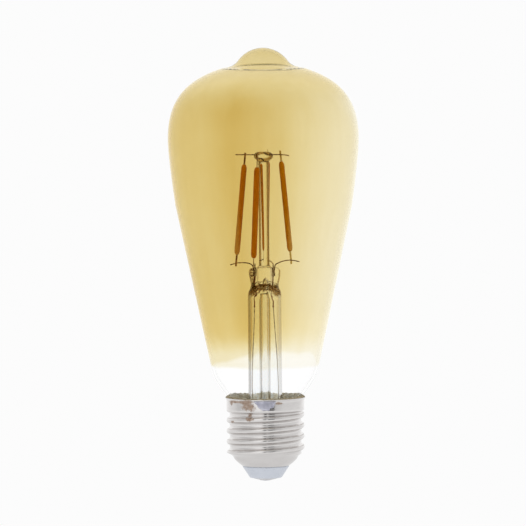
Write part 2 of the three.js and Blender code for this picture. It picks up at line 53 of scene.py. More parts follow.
LAMP_HEIGHT = 145.2
BULB_RADIUS = 32
EQUATOR_Z = 114.9
GLASS_WALL = 0.9
CROWN_RADIUS = 10.2
CROWN_SWEEP = math.radians(54)
SHOULDER = (14, 138.35)
SHOULDER_SLOPE = -0.326
CONE_SLOPE = 0.2134
CONE_FOOT = (17.9, 37.6)
CONE_TOP_Z = 91.9
CONE_TOP = (CONE_FOOT[0] + CONE_SLOPE * (CONE_TOP_Z - CONE_FOOT[1]), CONE_TOP_Z)
NECK_RADIUS = 10.9
NECK_START_Z = 24.6
NECK_END_Z = 21

CAP_RIM_Z = 28.1
RIM_RADIUS = 13.5
CREST_RADIUS = 13.1
THREAD_PITCH = 3.629
THREAD_ARC = 1.025
CREST_AT_LEFT_Z = 20.5
THREAD_FADE = (22.7, 24.2)
SHEET = 0.3
CAP_SHOULDER_Z = 9.6
LIP_RADIUS = 8
LIP_Z = 5.15
CONTACT_RADIUS = 4.9
CONTACT_SHEET = 0.35
CONTACT_HOLLOW = 0.12  # height of the dome's lowest point over the solder's
CONTACT_CURVE = 12

TUBE_RADIUS = 5.65
FLARE_START_Z = 31
PRESS_FOOT_Z = 60
PRESS_TOP_Z = 71.9
PRESS_FLOOR_Z = 62.6
HOLLOW_TOP_Z = 66.9
POST_RADIUS = 1.74
BEAD_Z = 108.9
BEAD_RADIUS = 3.25
BEAD_HALF_HEIGHT = 1.55
EXHAUST_RADIUS = 1.9
EXHAUST_WALL = 0.8
EXHAUST_TIP_Z = 17.2

FILAMENT_LENGTH = 38.2
TAB_LENGTH = 3.9
TAB_SECTION = (0.62, 0.2)
CARRIER_SECTION = (0.72, 0.36)
CARRIER_OVERLAP = 0.16
SOFT_EDGE = 0.05


def smoothstep(low, high, value):
    share = min(max((value - low) / (high - low), 0), 1)
    return share * share * (3 - 2 * share)


def lerp(start, end, share):
    return start + (end - start) * share


def fractal(point, size, seed=0, octaves=3):
    """Smooth noise from about -1 to 1, with features of the given size in millimetres."""
    where = Vector(point) / size + Vector((seed * 17.3, seed * 5.1, seed * 9.7))
    return noise.fractal(where, 1.0, 2.0, octaves)


def turned(radius, angle, z):
    """The point at a radius and an angle round the lamp's axis."""
    return Vector((radius * math.cos(angle), radius * math.sin(angle), z))


def widened(point, scale, lift=0):
    return Vector((point.x * scale, point.y * scale, point.z + lift))


# ---- Mesh helpers ----


def bezier(start, start_pull, end_pull, end, steps):
    """Points of a cubic curve after its start, in as many steps."""
    points = []
    for i in range(1, steps + 1):
        t = i / steps
        weights = ((1 - t) ** 3, 3 * t * (1 - t) ** 2, 3 * t * t * (1 - t), t**3)
        corners = (start, start_pull, end_pull, end)
        points.append(tuple(sum(w * c[k] for w, c in zip(weights, corners)) for k in (0, 1)))
    return points


def bend_to(path, leave, leave_reach, end, arrive, arrive_reach, steps):
    """Lengthens a path to a point, leaving along one direction and arriving along another. The
    longer a reach, the longer the path holds that direction."""
    start = Vector(path[-1])
    pull = start + Vector(leave).normalized() * leave_reach
    push = Vector(end) - Vector(arrive).normalized() * arrive_reach
    path += bezier(start, pull, push, Vector(end), steps)


def straight_to(path, end, steps):
    start = Vector(path[-1])
    path += [tuple(start.lerp(Vector(end), (i + 1) / steps)) for i in range(steps)]


def offset(path, distance):
    """The path moved sideways, to the right of the way it runs. On the axis it runs square to it."""
    moved = []
    for i, (r, z) in enumerate(path):
        along = (Vector(path[min(i + 1, len(path) - 1)]) - Vector(path[max(i - 1, 0)])).normalized()
        if r < ON_AXIS:
            along = Vector((1, 0))
        moved.append((r + along.y * distance, z - along.x * distance))
    return moved


def new_object(data):
    made = bpy.data.objects.new(data.name, data)
    bpy.context.scene.collection.objects.link(made)
    return made


def add_piece(data, material, slot, *replaced):
    """Puts a mesh or curve in the scene as a piece of the lamp, in place of its CAD nodes."""
    data.materials.append(material)
    piece = new_object(data)
    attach(piece, BODY)
    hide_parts(*replaced)


def mesh_from(name, points, faces, sharp=40):
    """A smooth mesh, with an edge kept sharp where it turns by more than so many degrees."""
    mesh = bpy.data.meshes.new(name)
    mesh.from_pydata([Vector(p) * MM for p in points], [], faces)
    tidy = bmesh.new()
    tidy.from_mesh(mesh)
    bmesh.ops.recalc_face_normals(tidy, faces=tidy.faces)
    tidy.to_mesh(mesh)
    tidy.free()
    mesh.shade_smooth()
    mesh.set_sharp_from_angle(angle=math.radians(sharp))
    return mesh


def revolved(name, profile, segments, warp=None, sharp=40):
    """A closed solid: the profile's loop of (radius, z) points turned about Z. A profile that
    starts and ends on the axis is closed there, and any other is joined end to end. The warp
    moves each point of the solid, and a list of warps has one for each point of the profile."""
    warps = warp if isinstance(warp, list) else [warp] * len(profile)
    points = []
    rings = []
    for (r, z), moved in zip(profile, warps):
        count = 1 if r < ON_AXIS else segments
        rings.append(range(len(points), len(points) + count))
        for i in range(count):
            point = turned(r, TAU * i / segments, z)
            points.append(moved(point) if moved else point)
    on_axis = len(rings[0]) == 1
    pairs = list(zip(rings, rings[1:])) + ([] if on_axis else [(rings[-1], rings[0])])
    faces = []
    for above, below in pairs:
        if len(above) == len(below) == 1:
            continue
        for i in range(segments):
            j = (i + 1) % segments
            corners = [above[i % len(above)], above[j % len(above)]]
            corners += [below[j % len(below)], below[i % len(below)]]
            faces.append(list(dict.fromkeys(corners)))
    return mesh_from(name, points, faces, sharp)


def wire_curve(name, points, radius, foot):
    """A round wire along a smooth line through the points. Its foot is so many times as thick."""
    curve = bpy.data.curves.new(name, "CURVE")
    curve.dimensions = "3D"
    curve.bevel_depth = radius * MM
    curve.bevel_resolution = 5
    curve.use_fill_caps = True
    curve.resolution_u = 10
    spline = curve.splines.new("BEZIER")
    spline.bezier_points.add(len(points) - 1)
    for knot, point in zip(spline.bezier_points, points):
        knot.co = Vector(point) * MM
        knot.handle_left_type = knot.handle_right_type = "AUTO"
    spline.bezier_points[0].radius = foot
    return curve


def rounded_block(name, size):
    """A block about the origin with rounded edges."""
    made = bmesh.new()
    bmesh.ops.create_cube(made, size=1)
    bmesh.ops.scale(made, vec=Vector(size) * MM, verts=made.verts)
    rounding = {"offset": SOFT_EDGE * MM, "segments": 3, "profile": 0.5, "affect": "EDGES"}
    bmesh.ops.bevel(made, geom=made.edges[:], **rounding)
    mesh = bpy.data.meshes.new(name)
    made.to_mesh(mesh)
    made.free()
    mesh.shade_smooth()
    mesh.set_sharp_from_angle(angle=math.radians(50))
    return mesh


# ---- Node helpers ----


class Tree:
    """A node tree, built with one short call a node. A value may be a number, a colour, or another
    node's output."""

    def __init__(self, tree):
        self.tree = tree
        tree.nodes.clear()

    def add(self, kind, values=None, output=0, **settings):
        node = self.tree.nodes.new("ShaderNode" + kind)
        for key, value in settings.items():
            setattr(node, key, value)
        for key, value in (values or {}).items():
            if isinstance(value, bpy.types.NodeSocket):
                self.tree.links.new(value, node.inputs[key])
            else:
                node.inputs[key].default_value = value
        return node.outputs[output] if node.outputs else node

    def math(self, operation, *values):
        return self.add("Math", dict(enumerate(values)), operation=operation)

    def product(self, first, *others):
        for other in others:
            first = self.math("MULTIPLY", first, other)
        return first

    def overlap(self, *spans):
        """The product of what smooth makes of each span."""
        return self.product(*[self.smooth(*span) for span in spans])

    def squares(self, first, second):
        """The sum of two squares."""
        return self.math("ADD", self.product(first, first), self.product(second, second))

    def off_axis(self, place):
        """The distance from the lamp's axis."""
        x, y, _ = self.split(place)
        return self.math("SQRT", self.squares(x, y))

    def away(self, value, centre=0):
        """How far a value is from a centre, on either side."""
        return self.math("ABSOLUTE", self.math("SUBTRACT", value, centre))

    def position(self):
        """Where a point of the surface is, in millimetres, as a vector."""
        place = self.add("TexCoord", output="Object")
        return self.add("VectorMath", {0: place, "Scale": 1000}, operation="SCALE")

    def split(self, vector):
        return self.add("SeparateXYZ", {0: vector}).node.outputs

    def facing(self):
        """0 where the surface faces the eye, 1 where it turns away."""
        return self.add("LayerWeight", {"Blend": 0.5}, output=1)

    def stretched(self, vector, scale):
        return self.add("VectorMath", {0: vector, 1: scale}, operation="MULTIPLY")

    def noise(self, vector, size, detail=3.0, roughness=0.5, distortion=0.0):
        """Noise from 0 to 1 with features of the given size in millimetres."""
        values = {"Vector": vector, "Scale": 1 / size, "Detail": detail}
        values.update({"Roughness": roughness, "Distortion": distortion})
        return self.add("TexNoise", values)

    def smooth(self, value, low, high, to_low=0.0, to_high=1.0):
        """Runs smoothly from one value to the other as the input goes from low to high."""
        values = {0: value, 1: low, 2: high, 3: to_low, 4: to_high}
        return self.add("MapRange", values, interpolation_type="SMOOTHSTEP")

    def ramp(self, value, stops, interpolation="LINEAR"):
        """A grey for each value: the stops are (position, grey) pairs."""
        grade = self.add("ValToRGB", {0: value})
        ramp = grade.node.color_ramp
        ramp.interpolation = interpolation
        while len(ramp.elements) < len(stops):
            ramp.elements.new(1)
        for element, (place, shade) in zip(ramp.elements, stops):
            element.position = place
            element.color = (shade, shade, shade, 1)
        return grade

    def mix(self, share, first, second):
        colours = [c if isinstance(c, bpy.types.NodeSocket) else (*c, 1) for c in (first, second)]
        values = {0: share, 6: colours[0], 7: colours[1]}
        return self.add("Mix", values, output=2, data_type="RGBA")

    def bump(self, height, distance):
        """A normal from a height of 0 to 1 that stands for the given distance in millimetres."""
        return self.add("Bump", {"Height": height, "Distance": distance * MM})


def surface(build, name=None, *details):
    """A Principled material. The build function gets the tree, the place of the point shaded and
    the details, and returns the shader's values."""
    material = bpy.data.materials.new(name or build.__name__)
    material.use_nodes = True
    tree = Tree(material.node_tree)
    shader = tree.add("BsdfPrincipled", build(tree, tree.position(), *details))
    tree.add("OutputMaterial", {"Surface": shader})
    return material


# ---- Materials ----

AMBER = (0.578, 0.376, 0.076)  # what gets through both walls where the tint's depth is 1
TINT_ACROSS = [  # depth of the tint from the left edge of the bulb to the right
    (0, 0.62), (0.08, 0.64), (0.2, 0.64), (0.3, 0.8), (0.37, 0.83), (0.47, 0.71), (0.6, 0.61),
    (0.7, 0.46), (0.85, 0.32), (0.97, 0.28), (1, 0.19),
]
CROWN_TINT = 0.47
COAT_FOOT_Z = 38.1
SECOND_DIP_Z = (41, 51)  # where the second dip starts and where it is full
CLARITY = [  # how much of the light both walls let through, apart from their tint, by height
    (38, 0.94), (46, 0.97), (52, 0.985), (58, 0.95), (75, 0.94), (98, 0.945), (117, 0.93),
    (129, 0.9), (134, 0.94), (138, 0.93), (143, 0.88), (145, 0.87),
]
FOOT_OUTLINE_SHADE, CROWN_OUTLINE_SHADE = 0.22, 0.5  # how much painted shade darkens the bulb's outline there
CLEAR = {"Transmission Weight": 1, "Roughness": 0}


def tint_depth(tree, place, side, z):
    """Depth of the amber coat above its foot, from side to side (-1 to 1) and by height: how many
    times over the light is filtered by AMBER as it crosses the bulb."""
    depth = tree.ramp(tree.math("MULTIPLY_ADD", side, 0.5, 0.5), TINT_ACROSS, "B_SPLINE")
    thinner = tree.overlap((z, 104, 76, 0, 0.08), (side, -0.8, -0.5))
    depth = tree.product(depth, tree.math("SUBTRACT", 1, thinner))
    off_axis = tree.away(side)
    band = tree.overlap(
        (z, 113, 126), (z, 137, 128, 0, 0.03), (off_axis, 0.1, 0.45), (off_axis, 0.97, 0.8)
    )
    depth = tree.math("ADD", depth, band)
    crown = tree.smooth(z, 124, 137)
    depth = tree.product(depth, tree.math("SUBTRACT", 1, crown))
    depth = tree.math("MULTIPLY_ADD", crown, CROWN_TINT, depth)
    streaks = tree.noise(tree.stretched(place, (1, 1, 0.1)), 4, detail=3)
    clouds = tree.noise(place, 17, detail=4)
    for unevenness in (streaks, clouds):
        depth = tree.product(depth, tree.smooth(unevenness, 0.2, 0.8, 0.95, 1.05))
    return depth


def dipped_foot(tree, place, side, back, z, depth):
    """Ends the coat at the bulb's foot in a faint first dip and a second one above it. Both are
    deeper on the left, and the first ends higher at the back."""
    rise = tree.overlap((back, 0.05, 0.6, 0, 3), (side, -0.9, 0))
    waver = tree.smooth(tree.noise(place, 9, detail=3), 0.2, 0.8, -0.4, 0.4)
    level = tree.math("ADD", tree.math("SUBTRACT", z, rise), waver)
    first_depth = tree.smooth(side, -1, 0.5, 0.28, 0.11)
    first = tree.product(tree.smooth(level, COAT_FOOT_Z, COAT_FOOT_Z + 1.6), first_depth)
    second = tree.smooth(tree.math("MULTIPLY_ADD", waver, 3, z), *SECOND_DIP_Z)
    second = tree.product(tree.math("SUBTRACT", depth, first_depth), second)
    return tree.math("ADD", second, first)


def amber_glass(tree, place):
    """Glass with an amber coat on its outside, deepest left of centre and thin on the right. Round the
    foot and the crown, painted shade darkens its outline a little."""
    x, y, z = tree.split(place)
    radius = tree.math("MAXIMUM", tree.off_axis(place), 0.1)
    side = tree.math("DIVIDE", x, radius)
    back = tree.math("DIVIDE", y, radius)
    coat = tree.add("Attribute", output=2, attribute_name="coat")
    depth = dipped_foot(tree, place, side, back, z, tint_depth(tree, place, side, z))
    depth = tree.product(depth, coat)

    stops = [(level / LAMP_HEIGHT, value) for level, value in CLARITY]
    clarity = tree.ramp(tree.math("DIVIDE", z, LAMP_HEIGHT), stops)
    # Painted shade on the outline where the glass turns away, round the foot and the crown.
    foot = tree.smooth(z, 50, 36, 0, FOOT_OUTLINE_SHADE)
    crown = tree.smooth(z, 140.5, 142.5, 0, CROWN_OUTLINE_SHADE)
    outline = tree.product(tree.smooth(tree.facing(), 0.72, 0.92), tree.math("MAXIMUM", foot, crown))
    clarity = tree.product(tree.math("POWER", clarity, coat), tree.math("SUBTRACT", 1, outline))
    channels = [tree.product(tree.math("POWER", share, depth), clarity) for share in AMBER]
    colour = tree.add("CombineColor", dict(enumerate(channels)))
    return {"Base Color": colour, "IOR": 1.15, "Specular Tint": (0.9, 0.55, 0.1, 1), **CLEAR}


PURE_GLASS = (0.992, 0.992, 0.985)
GREY_EDGE_SHADE, AMBER_EDGE_SHADE = (0.97, 0.97, 0.96), (0.58, 0.4, 0.15)  # painted edge shade, below the bulb's coat and within it
# Painted shade for the mount's press: its solid edges, the melt lines where its folds refract dark, and the
# bar above them.
SOLID_EDGE_SHADE = (0.18, 0.09, 0.018)
MELT_SHADE, BAR_SHADE = (0.22, 0.09, 0.015), (0.1, 0.045, 0.012)
MELT_Z = 65.1
BAR_Z = 65.75


def edge_shaded_glass(tree, place, edge_start, edge_end):
    """Clear glass with painted shade where it turns away, standing in for the dark room seen through
    its edges. Within the bulb's coat the painted edge shade is amber, for light that came through the bulb
    round it. Its right side, which is lit, has paler painted edges."""
    x, _, z = tree.split(place)
    # Painted shade at the edges, weaker on the lit right side.
    edge = tree.overlap((tree.facing(), edge_start, edge_end), (x, 4, 5, 1, 0.4))
    return tree.mix(edge, PURE_GLASS, tree.mix(tree.smooth(z, 39, 45), GREY_EDGE_SHADE, AMBER_EDGE_SHADE))


def exhaust_glass(tree, place):
    return {"Base Color": edge_shaded_glass(tree, place, 0.15, 0.35), "IOR": 1.5, **CLEAR}


def mount_glass(tree, place):
    """The mount's glass is solid above its hollow. There its edges get painted shade, and painted
    brown shade draws melt lines across it where its folds refract dark, with a painted dark bar above them
    and more painted brown shade down its left ear."""
    x, _, z = tree.split(place)
    colour = edge_shaded_glass(tree, place, 0.4, 0.6)
    normal = tree.add("NewGeometry", output=1)
    upright = tree.smooth(tree.away(tree.split(normal)[2]), 0.6, 0.3)
    upright = tree.math("MAXIMUM", upright, tree.smooth(z, 104, 106))
    solid = tree.overlap((tree.facing(), 0.06, 0.26), (z, PRESS_FLOOR_Z - 1, PRESS_FLOOR_Z + 1))
    # Painted shade on the edges of the solid glass.
    colour = tree.mix(tree.product(solid, upright), colour, SOLID_EDGE_SHADE)

    outward = tree.math("MAXIMUM", tree.math("SUBTRACT", tree.away(x), 1.4), 0)
    off_line = tree.away(tree.math("ADD", z, tree.product(outward, 0.28)), MELT_Z)
    swirls = tree.stretched(place, (1, 1, 1.8))
    swirls = tree.noise(swirls, 1.1, detail=5, roughness=0.6, distortion=1.6)
    # Painted brown shade along the melt lines.
    melt_shade = tree.overlap((off_line, 1.4, 0.7), (swirls, 0.37, 0.53))
    colour = tree.mix(melt_shade, colour, MELT_SHADE)

    # A painted dark bar above the melt lines, and painted brown shade down the left ear.
    bar_shade = tree.overlap((tree.away(z, BAR_Z), 0.5, 0.25), (tree.away(x, 0.1), 2.1, 1.7))
    ear = tree.overlap((x, -3.3, -3.6), (z, 62.8, 63.8), (swirls, 0.56, 0.46))
    colour = tree.mix(tree.math("MAXIMUM", bar_shade, ear), colour, BAR_SHADE)
    return {"Base Color": colour, "IOR": 1.5, "Specular Tint": (0.8, 0.5, 0.15, 1), **CLEAR}


def phosphor(tree, place, deep, pale):
    """Silicone loaded with phosphor, cast a little unevenly over the row of dies. Far out from the
    axis, at the feet of the left and right filaments, a painted highlight makes it paler, where the bulb's
    wall glints on it."""
    outward = tree.away(tree.split(place)[0])
    tone = tree.noise(place, 2.5, detail=4)
    grain = tree.noise(place, 0.12, detail=2)
    lumps = tree.noise(place, 0.9, detail=3)
    height = tree.math("MULTIPLY_ADD", grain, 0.15, lumps)
    colour = tree.mix(tree.smooth(tone, 0.3, 0.7), deep, pale)
    # Painted highlight: paler far out from the axis, where the bulb's wall glints on the coating.
    colour = tree.mix(tree.smooth(outward, 7.6, 9.0, 0, 0.85), colour, (0.5, 0.29, 0.09))
    return {
        "Base Color": colour,
        "Normal": tree.bump(height, 0.06),
        "Roughness": 0.5,
        "IOR": 1.36,
        "Specular Tint": (0.8, 0.4, 0.05, 1),
    }


def wire_metal(tree, place, tint, dark, bright_foot=False):
    """Drawn wire or stamped tab, with its oxide in patches and die lines along it. A bright foot
    has no oxide, because it was out of the flame."""
    patches = tree.noise(place, 1.6, detail=5, roughness=0.6)
    oxide = tree.smooth(patches, 0.4, 0.65)
    if bright_foot:
        oxide = tree.product(oxide, tree.smooth(tree.split(place)[2], 36, 46))
    fine = tree.noise(tree.stretched(place, (1, 1, 0.2)), 0.12, detail=2)
    return {
        "Base Color": tree.mix(oxide, tint, dark),
        "Roughness": tree.smooth(oxide, 0, 1, 0.28, 0.5),
        "Normal": tree.bump(fine, 0.01),
        "Metallic": 1,
    }


CREST_FOOT = 0.68  # how far each side of a crest's middle the painted crease shade lies
FLUX_STAINS = [  # centre x and z, half width and half height
    (-6.3, 26.2, 2.0, 2.0), (-4.8, 25.6, 1.6, 1.5), (-6.4, 27.2, 2.6, 1.0),
    (-5.4, 21.6, 1.5, 0.8), (-5.2, 22.6, 0.8, 1.0), (-9.4, 27.2, 3.0, 0.5),
    (-11.3, 26.7, 0.7, 0.8), (-11.0, 20.4, 0.6, 0.5), (4.4, 26.9, 1.3, 0.5),
]


def flux_stain(tree, place):
    """How thickly burnt flux lies on the front of the cap, near the side solder."""
    x, y, z = tree.split(place)
    frayed = tree.math("MULTIPLY_ADD", tree.noise(place, 1.0, detail=5, roughness=0.7), 3.2, -1.6)
    stain = 0
    for centre_x, centre_z, half_width, half_height in FLUX_STAINS:
        across = tree.math("DIVIDE", tree.math("SUBTRACT", x, centre_x), half_width)
        up = tree.math("DIVIDE", tree.math("SUBTRACT", z, centre_z), half_height)
        spread = tree.math("ADD", tree.squares(across, up), frayed)
        stain = tree.math("MAXIMUM", stain, tree.smooth(spread, 1.1, 0.2, 0, 0.88))
    return tree.product(stain, tree.smooth(y, -1, -3))


def thread_crease_shade(tree, place):
    """How much painted shade lies along both feet of the thread's crest, where the creases look dark."""
    x, y, z = tree.split(place)
    turn = tree.math("ARCTAN2", y, x)
    crest_z = tree.math("MULTIPLY_ADD", turn, THREAD_PITCH / TAU, CREST_AT_LEFT_Z - THREAD_PITCH / 2)
    pitches = tree.math("DIVIDE", tree.math("SUBTRACT", z, crest_z), THREAD_PITCH)
    off_crest = tree.product(tree.math("PINGPONG", pitches, 0.5), THREAD_PITCH)
    return tree.overlap(
        (tree.away(off_crest, CREST_FOOT), 0.2, 0.04),
        (z, THREAD_FADE[1], THREAD_FADE[0]),
        (z, CAP_SHOULDER_Z, CAP_SHOULDER_Z + 1.2),
        (tree.noise(place, 2.2, detail=4), 0.3, 0.6, 0.3, 0.7),
    )


def nickel_shell(tree, place):
    """Bright nickel plate on rolled brass, with faint rolling lines, painted shade along the thread's
    creases, and brown flux burnt on."""
    stain = flux_stain(tree, place)
    tone = tree.noise(place, 0.8, detail=5, roughness=0.7)
    flux = tree.mix(tree.smooth(tone, 0.35, 0.65), (0.19, 0.1, 0.05), (0.38, 0.28, 0.21))
    tarnish = tree.noise(tree.stretched(place, (1, 1, 2.5)), 7, detail=4)
    plate = tree.mix(tree.smooth(tarnish, 0.35, 0.7), (0.72, 0.7, 0.69), (0.675, 0.655, 0.645))
    # Painted shade in the thread's creases, in a dark grey-brown.
    plate = tree.mix(thread_crease_shade(tree, place), plate, (0.28, 0.24, 0.21))
    lines = tree.noise(tree.stretched(place, (0.04, 0.04, 1)), 0.11, detail=3)
    smears = tree.noise(place, 3, detail=5)
    rough = tree.smooth(smears, 0.3, 0.75, 0.08, 0.17)
    return {
        "Base Color": tree.mix(stain, plate, flux),
        "Metallic": tree.math("MULTIPLY_ADD", stain, -0.7, 1.0),
        "Roughness": tree.math("MULTIPLY_ADD", stain, 0.3, rough),
        "Normal": tree.bump(lines, 0.003),
    }


def bright_plate(tree, place):
    wear = tree.noise(place, 1.8, detail=5)
    scratches = tree.noise(tree.stretched(place, (0.15, 1, 1)), 0.2, detail=3)
    return {
        "Base Color": tree.mix(wear, (0.7, 0.7, 0.71), (0.6, 0.6, 0.62)),
        "Roughness": tree.smooth(wear, 0.3, 0.7, 0.25, 0.42),
        "Normal": tree.bump(scratches, 0.008),
        "Metallic": 1,
    }


def tin_solder(tree, place):
    grain = tree.noise(place, 0.45, detail=4)
    dull = tree.noise(place, 1.6, detail=3)
    return {
        "Base Color": tree.mix(tree.smooth(dull, 0.3, 0.7), (0.42, 0.42, 0.5), (0.6, 0.6, 0.68)),
        "Roughness": tree.smooth(grain, 0.3, 0.7, 0.36, 0.55),
        "Normal": tree.bump(grain, 0.05),
        "Metallic": 1,
    }


def basing_cement(tree, place):
    """Porous resin cement, darker and browner against the metal. Inside that, its pale chalk is partly its
    own colour and partly painted light, raised near white for the inner wall, which lies in shade behind
    the glass.
    """
    lumps = tree.noise(place, 0.7, detail=6, roughness=0.65)
    patches = tree.noise(place, 3.2, detail=3)
    # Pale chalk, partly the cement's own colour and partly painted light for the shaded inner wall.
    lit_chalk = tree.mix(tree.smooth(patches, 0.35, 0.65), (0.86, 0.82, 0.68), (0.97, 0.97, 0.92))
    outer = tree.smooth(tree.off_axis(place), 12.3, 12.9)
    lit_chalk = tree.mix(outer, lit_chalk, (0.42, 0.36, 0.24))
    brown = tree.mix(outer, (0.62, 0.52, 0.36), (0.24, 0.18, 0.1))
    colour = tree.mix(tree.smooth(lumps, 0.3, 0.6), brown, lit_chalk)
    return {"Base Color": colour, "Normal": tree.bump(lumps, 0.05), "Roughness": 0.9}


def moulded(tree, place, light, dark, size, grain, height, roughness):
    """Moulded or sintered stuff: soft clouds of tone, and a fine grain."""
    clouds = tree.noise(place, size, detail=4)
    fine = tree.noise(place, grain, detail=3)
    return {
        "Base Color": tree.mix(tree.smooth(clouds, 0.3, 0.7), light, dark),
        "Normal": tree.bump(fine, height),
        "Roughness": roughness,
    }


def enamelled_copper(tree, place):
    """Enamelled wire wound turn on turn."""
    values = {"Vector": place, "Scale": 1.6, "Distortion": 0.3}
    turns = tree.add("TexWave", values, output=1, bands_direction="Z")
    tone = tree.noise(place, 0.8, detail=3)
    return {
        "Base Color": tree.mix(tree.smooth(tone, 0.3, 0.7), (0.48, 0.19, 0.07), (0.36, 0.13, 0.05)),
        "Normal": tree.bump(turns, 0.05),
        "Metallic": 0.6,
        "Roughness": 0.3,
    }


def board(tree, place, mask, glass):
    """Solder mask over woven glass cloth."""
    values = {"Vector": place, "Scale": 0.9, "Distortion": 0.4}
    weave = tree.add("TexWave", values, output=1, bands_direction="DIAGONAL")
    blotches = tree.noise(place, 4, detail=4)
    return {
        "Base Color": tree.mix(tree.smooth(blotches, 0.3, 0.7), mask, glass),
        "Normal": tree.bump(weave, 0.02),
        "Roughness": 0.35,
    }


GLASS_AMBER = surface(amber_glass)
GLASS_MOUNT = surface(mount_glass)
GLASS_EXHAUST = surface(exhaust_glass)
SHELL_PLATE = surface(nickel_shell)
PLATE = surface(bright_plate)
SOLDER = surface(tin_solder)
CEMENT = surface(basing_cement)
ENAMELLED_COPPER = surface(enamelled_copper)

PHOSPHOR = surface(phosphor, "phosphor_silicone", (0.4, 0.122, 0.001), (0.46, 0.155, 0.002))
# A lit copy of the phosphor, paler for painted light on the right filament.
LIT_PHOSPHOR = surface(phosphor, "lit_phosphor", (0.4, 0.14, 0.001), (0.46, 0.185, 0.002))

NICKEL_WIRE = surface(wire_metal, "lead_wire", (0.3, 0.2, 0.14), (0.13, 0.08, 0.05))
# Shaded and lit copies of the tab metal: painted shade for the left and front filaments, painted light for
# the right and back.
SHADED_TAB = surface(wire_metal, "shaded_tab", (0.28, 0.15, 0.06), (0.16, 0.08, 0.03))
LIT_TAB = surface(wire_metal, "lit_tab", (0.5, 0.36, 0.14), (0.34, 0.23, 0.08))
SEAL_WIRE = surface(wire_metal, "seal_wire", (0.3, 0.1, 0.05), (0.16, 0.05, 0.03))
COPPER_WIRE = surface(wire_metal, "copper_wire", (0.62, 0.33, 0.18), (0.3, 0.17, 0.1))
SUPPLY_WIRE = surface(wire_metal, "supply_wire", (0.55, 0.5, 0.44), (0.12, 0.08, 0.06), True)

BOARD_GREEN = surface(board, "circuit_board", (0.03, 0.16, 0.07), (0.05, 0.2, 0.09))
BOARD_BLACK = surface(board, "radio_board", (0.012, 0.014, 0.018), (0.02, 0.024, 0.03))

# Light and dark tone, size of the clouds, size and height of the grain, and roughness.
SUBSTRATE = surface(moulded, "filament_substrate", (0.8, 0.78, 0.7), (0.7, 0.68, 0.6), 1.5, 0.1, 0.01, 0.5)
INSULATOR = surface(
    moulded, "insulator_plastic", (0.53, 0.56, 0.62), (0.5, 0.53, 0.59), 3.5, 0.25, 0.01, 0.33
)
PACKAGE = surface(
    moulded, "black_package", (0.022, 0.022, 0.024), (0.014, 0.014, 0.016), 1.2, 0.08, 0.012, 0.5
)
SLEEVE = surface(moulded, "sleeve_film", (0.6, 0.36, 0.08), (0.48, 0.27, 0.05), 5, 0.8, 0.02, 0.25)
CAN_SLEEVE = surface(
    moulded, "capacitor_sleeve", (0.03, 0.034, 0.055), (0.02, 0.024, 0.04), 4, 0.5, 0.01, 0.28
)
FERRITE = surface(moulded, "ferrite", (0.05, 0.05, 0.052), (0.03, 0.03, 0.032), 0.8, 0.1, 0.03, 0.6)
LACQUER = surface(moulded, "resistor_lacquer", (0.16, 0.28, 0.34), (0.12, 0.23, 0.29), 1.2, 0.3, 0.02, 0.3)
FILM_BOX = surface(moulded, "film_box", (0.58, 0.34, 0.03), (0.5, 0.28, 0.02), 2, 0.2, 0.01, 0.35)
CRYSTAL = surface(moulded, "crystal_can", (0.55, 0.48, 0.34), (0.45, 0.38, 0.26), 1, 0.1, 0.01, 0.4)

# ---- Bulb ----


def bulb_outline():
    """The bulb's outer profile, from the top of its crown to the end of its neck."""
    down, down_cone = (0, -1), (-CONE_SLOPE, -1)
    crown_side = (math.cos(CROWN_SWEEP), -math.sin(CROWN_SWEEP))
    shoulder_way = (1, SHOULDER_SLOPE)
    crown_centre_z = LAMP_HEIGHT - CROWN_RADIUS
    steps = 24
    path = [(0, LAMP_HEIGHT)]
    for i in range(1, steps + 1):
        sweep = CROWN_SWEEP * i / steps
        path.append((CROWN_RADIUS * math.sin(sweep), crown_centre_z + CROWN_RADIUS * math.cos(sweep)))
    bend_to(path, crown_side, 3.0, SHOULDER, shoulder_way, 0.9, 20)
    bend_to(path, shoulder_way, 11.1, (BULB_RADIUS, EQUATOR_Z), down, 14.3, 36)
    bend_to(path, down, 6.2, CONE_TOP, down_cone, 1, 18)
    straight_to(path, CONE_FOOT, 24)
    bend_to(path, down_cone, 6, (NECK_RADIUS, NECK_START_Z), down, 3.4, 24)
    straight_to(path, (NECK_RADIUS, NECK_END_Z), 4)
    return path


def make_bulb():
    """The envelope. Its attribute coat is 1 on the outside, where the amber is, and 0 inside."""
    outside = bulb_outline()
    inside = offset(outside, GLASS_WALL)
    inside[-1] = (inside[-1][0], NECK_END_Z)
    segments = 160
    mesh = revolved("bulb_glass", outside + inside[::-1], segments)
    coat = mesh.attributes.new("coat", "FLOAT", "POINT")
    coated = 1 + (len(outside) - 1) * segments
    bare = len(mesh.vertices) - coated
    coat.data.foreach_set("value", [1.0] * coated + [0.0] * bare)
    add_piece(mesh, GLASS_AMBER, "amber_glass", "glass_envelope")


# ---- Glass mount ----


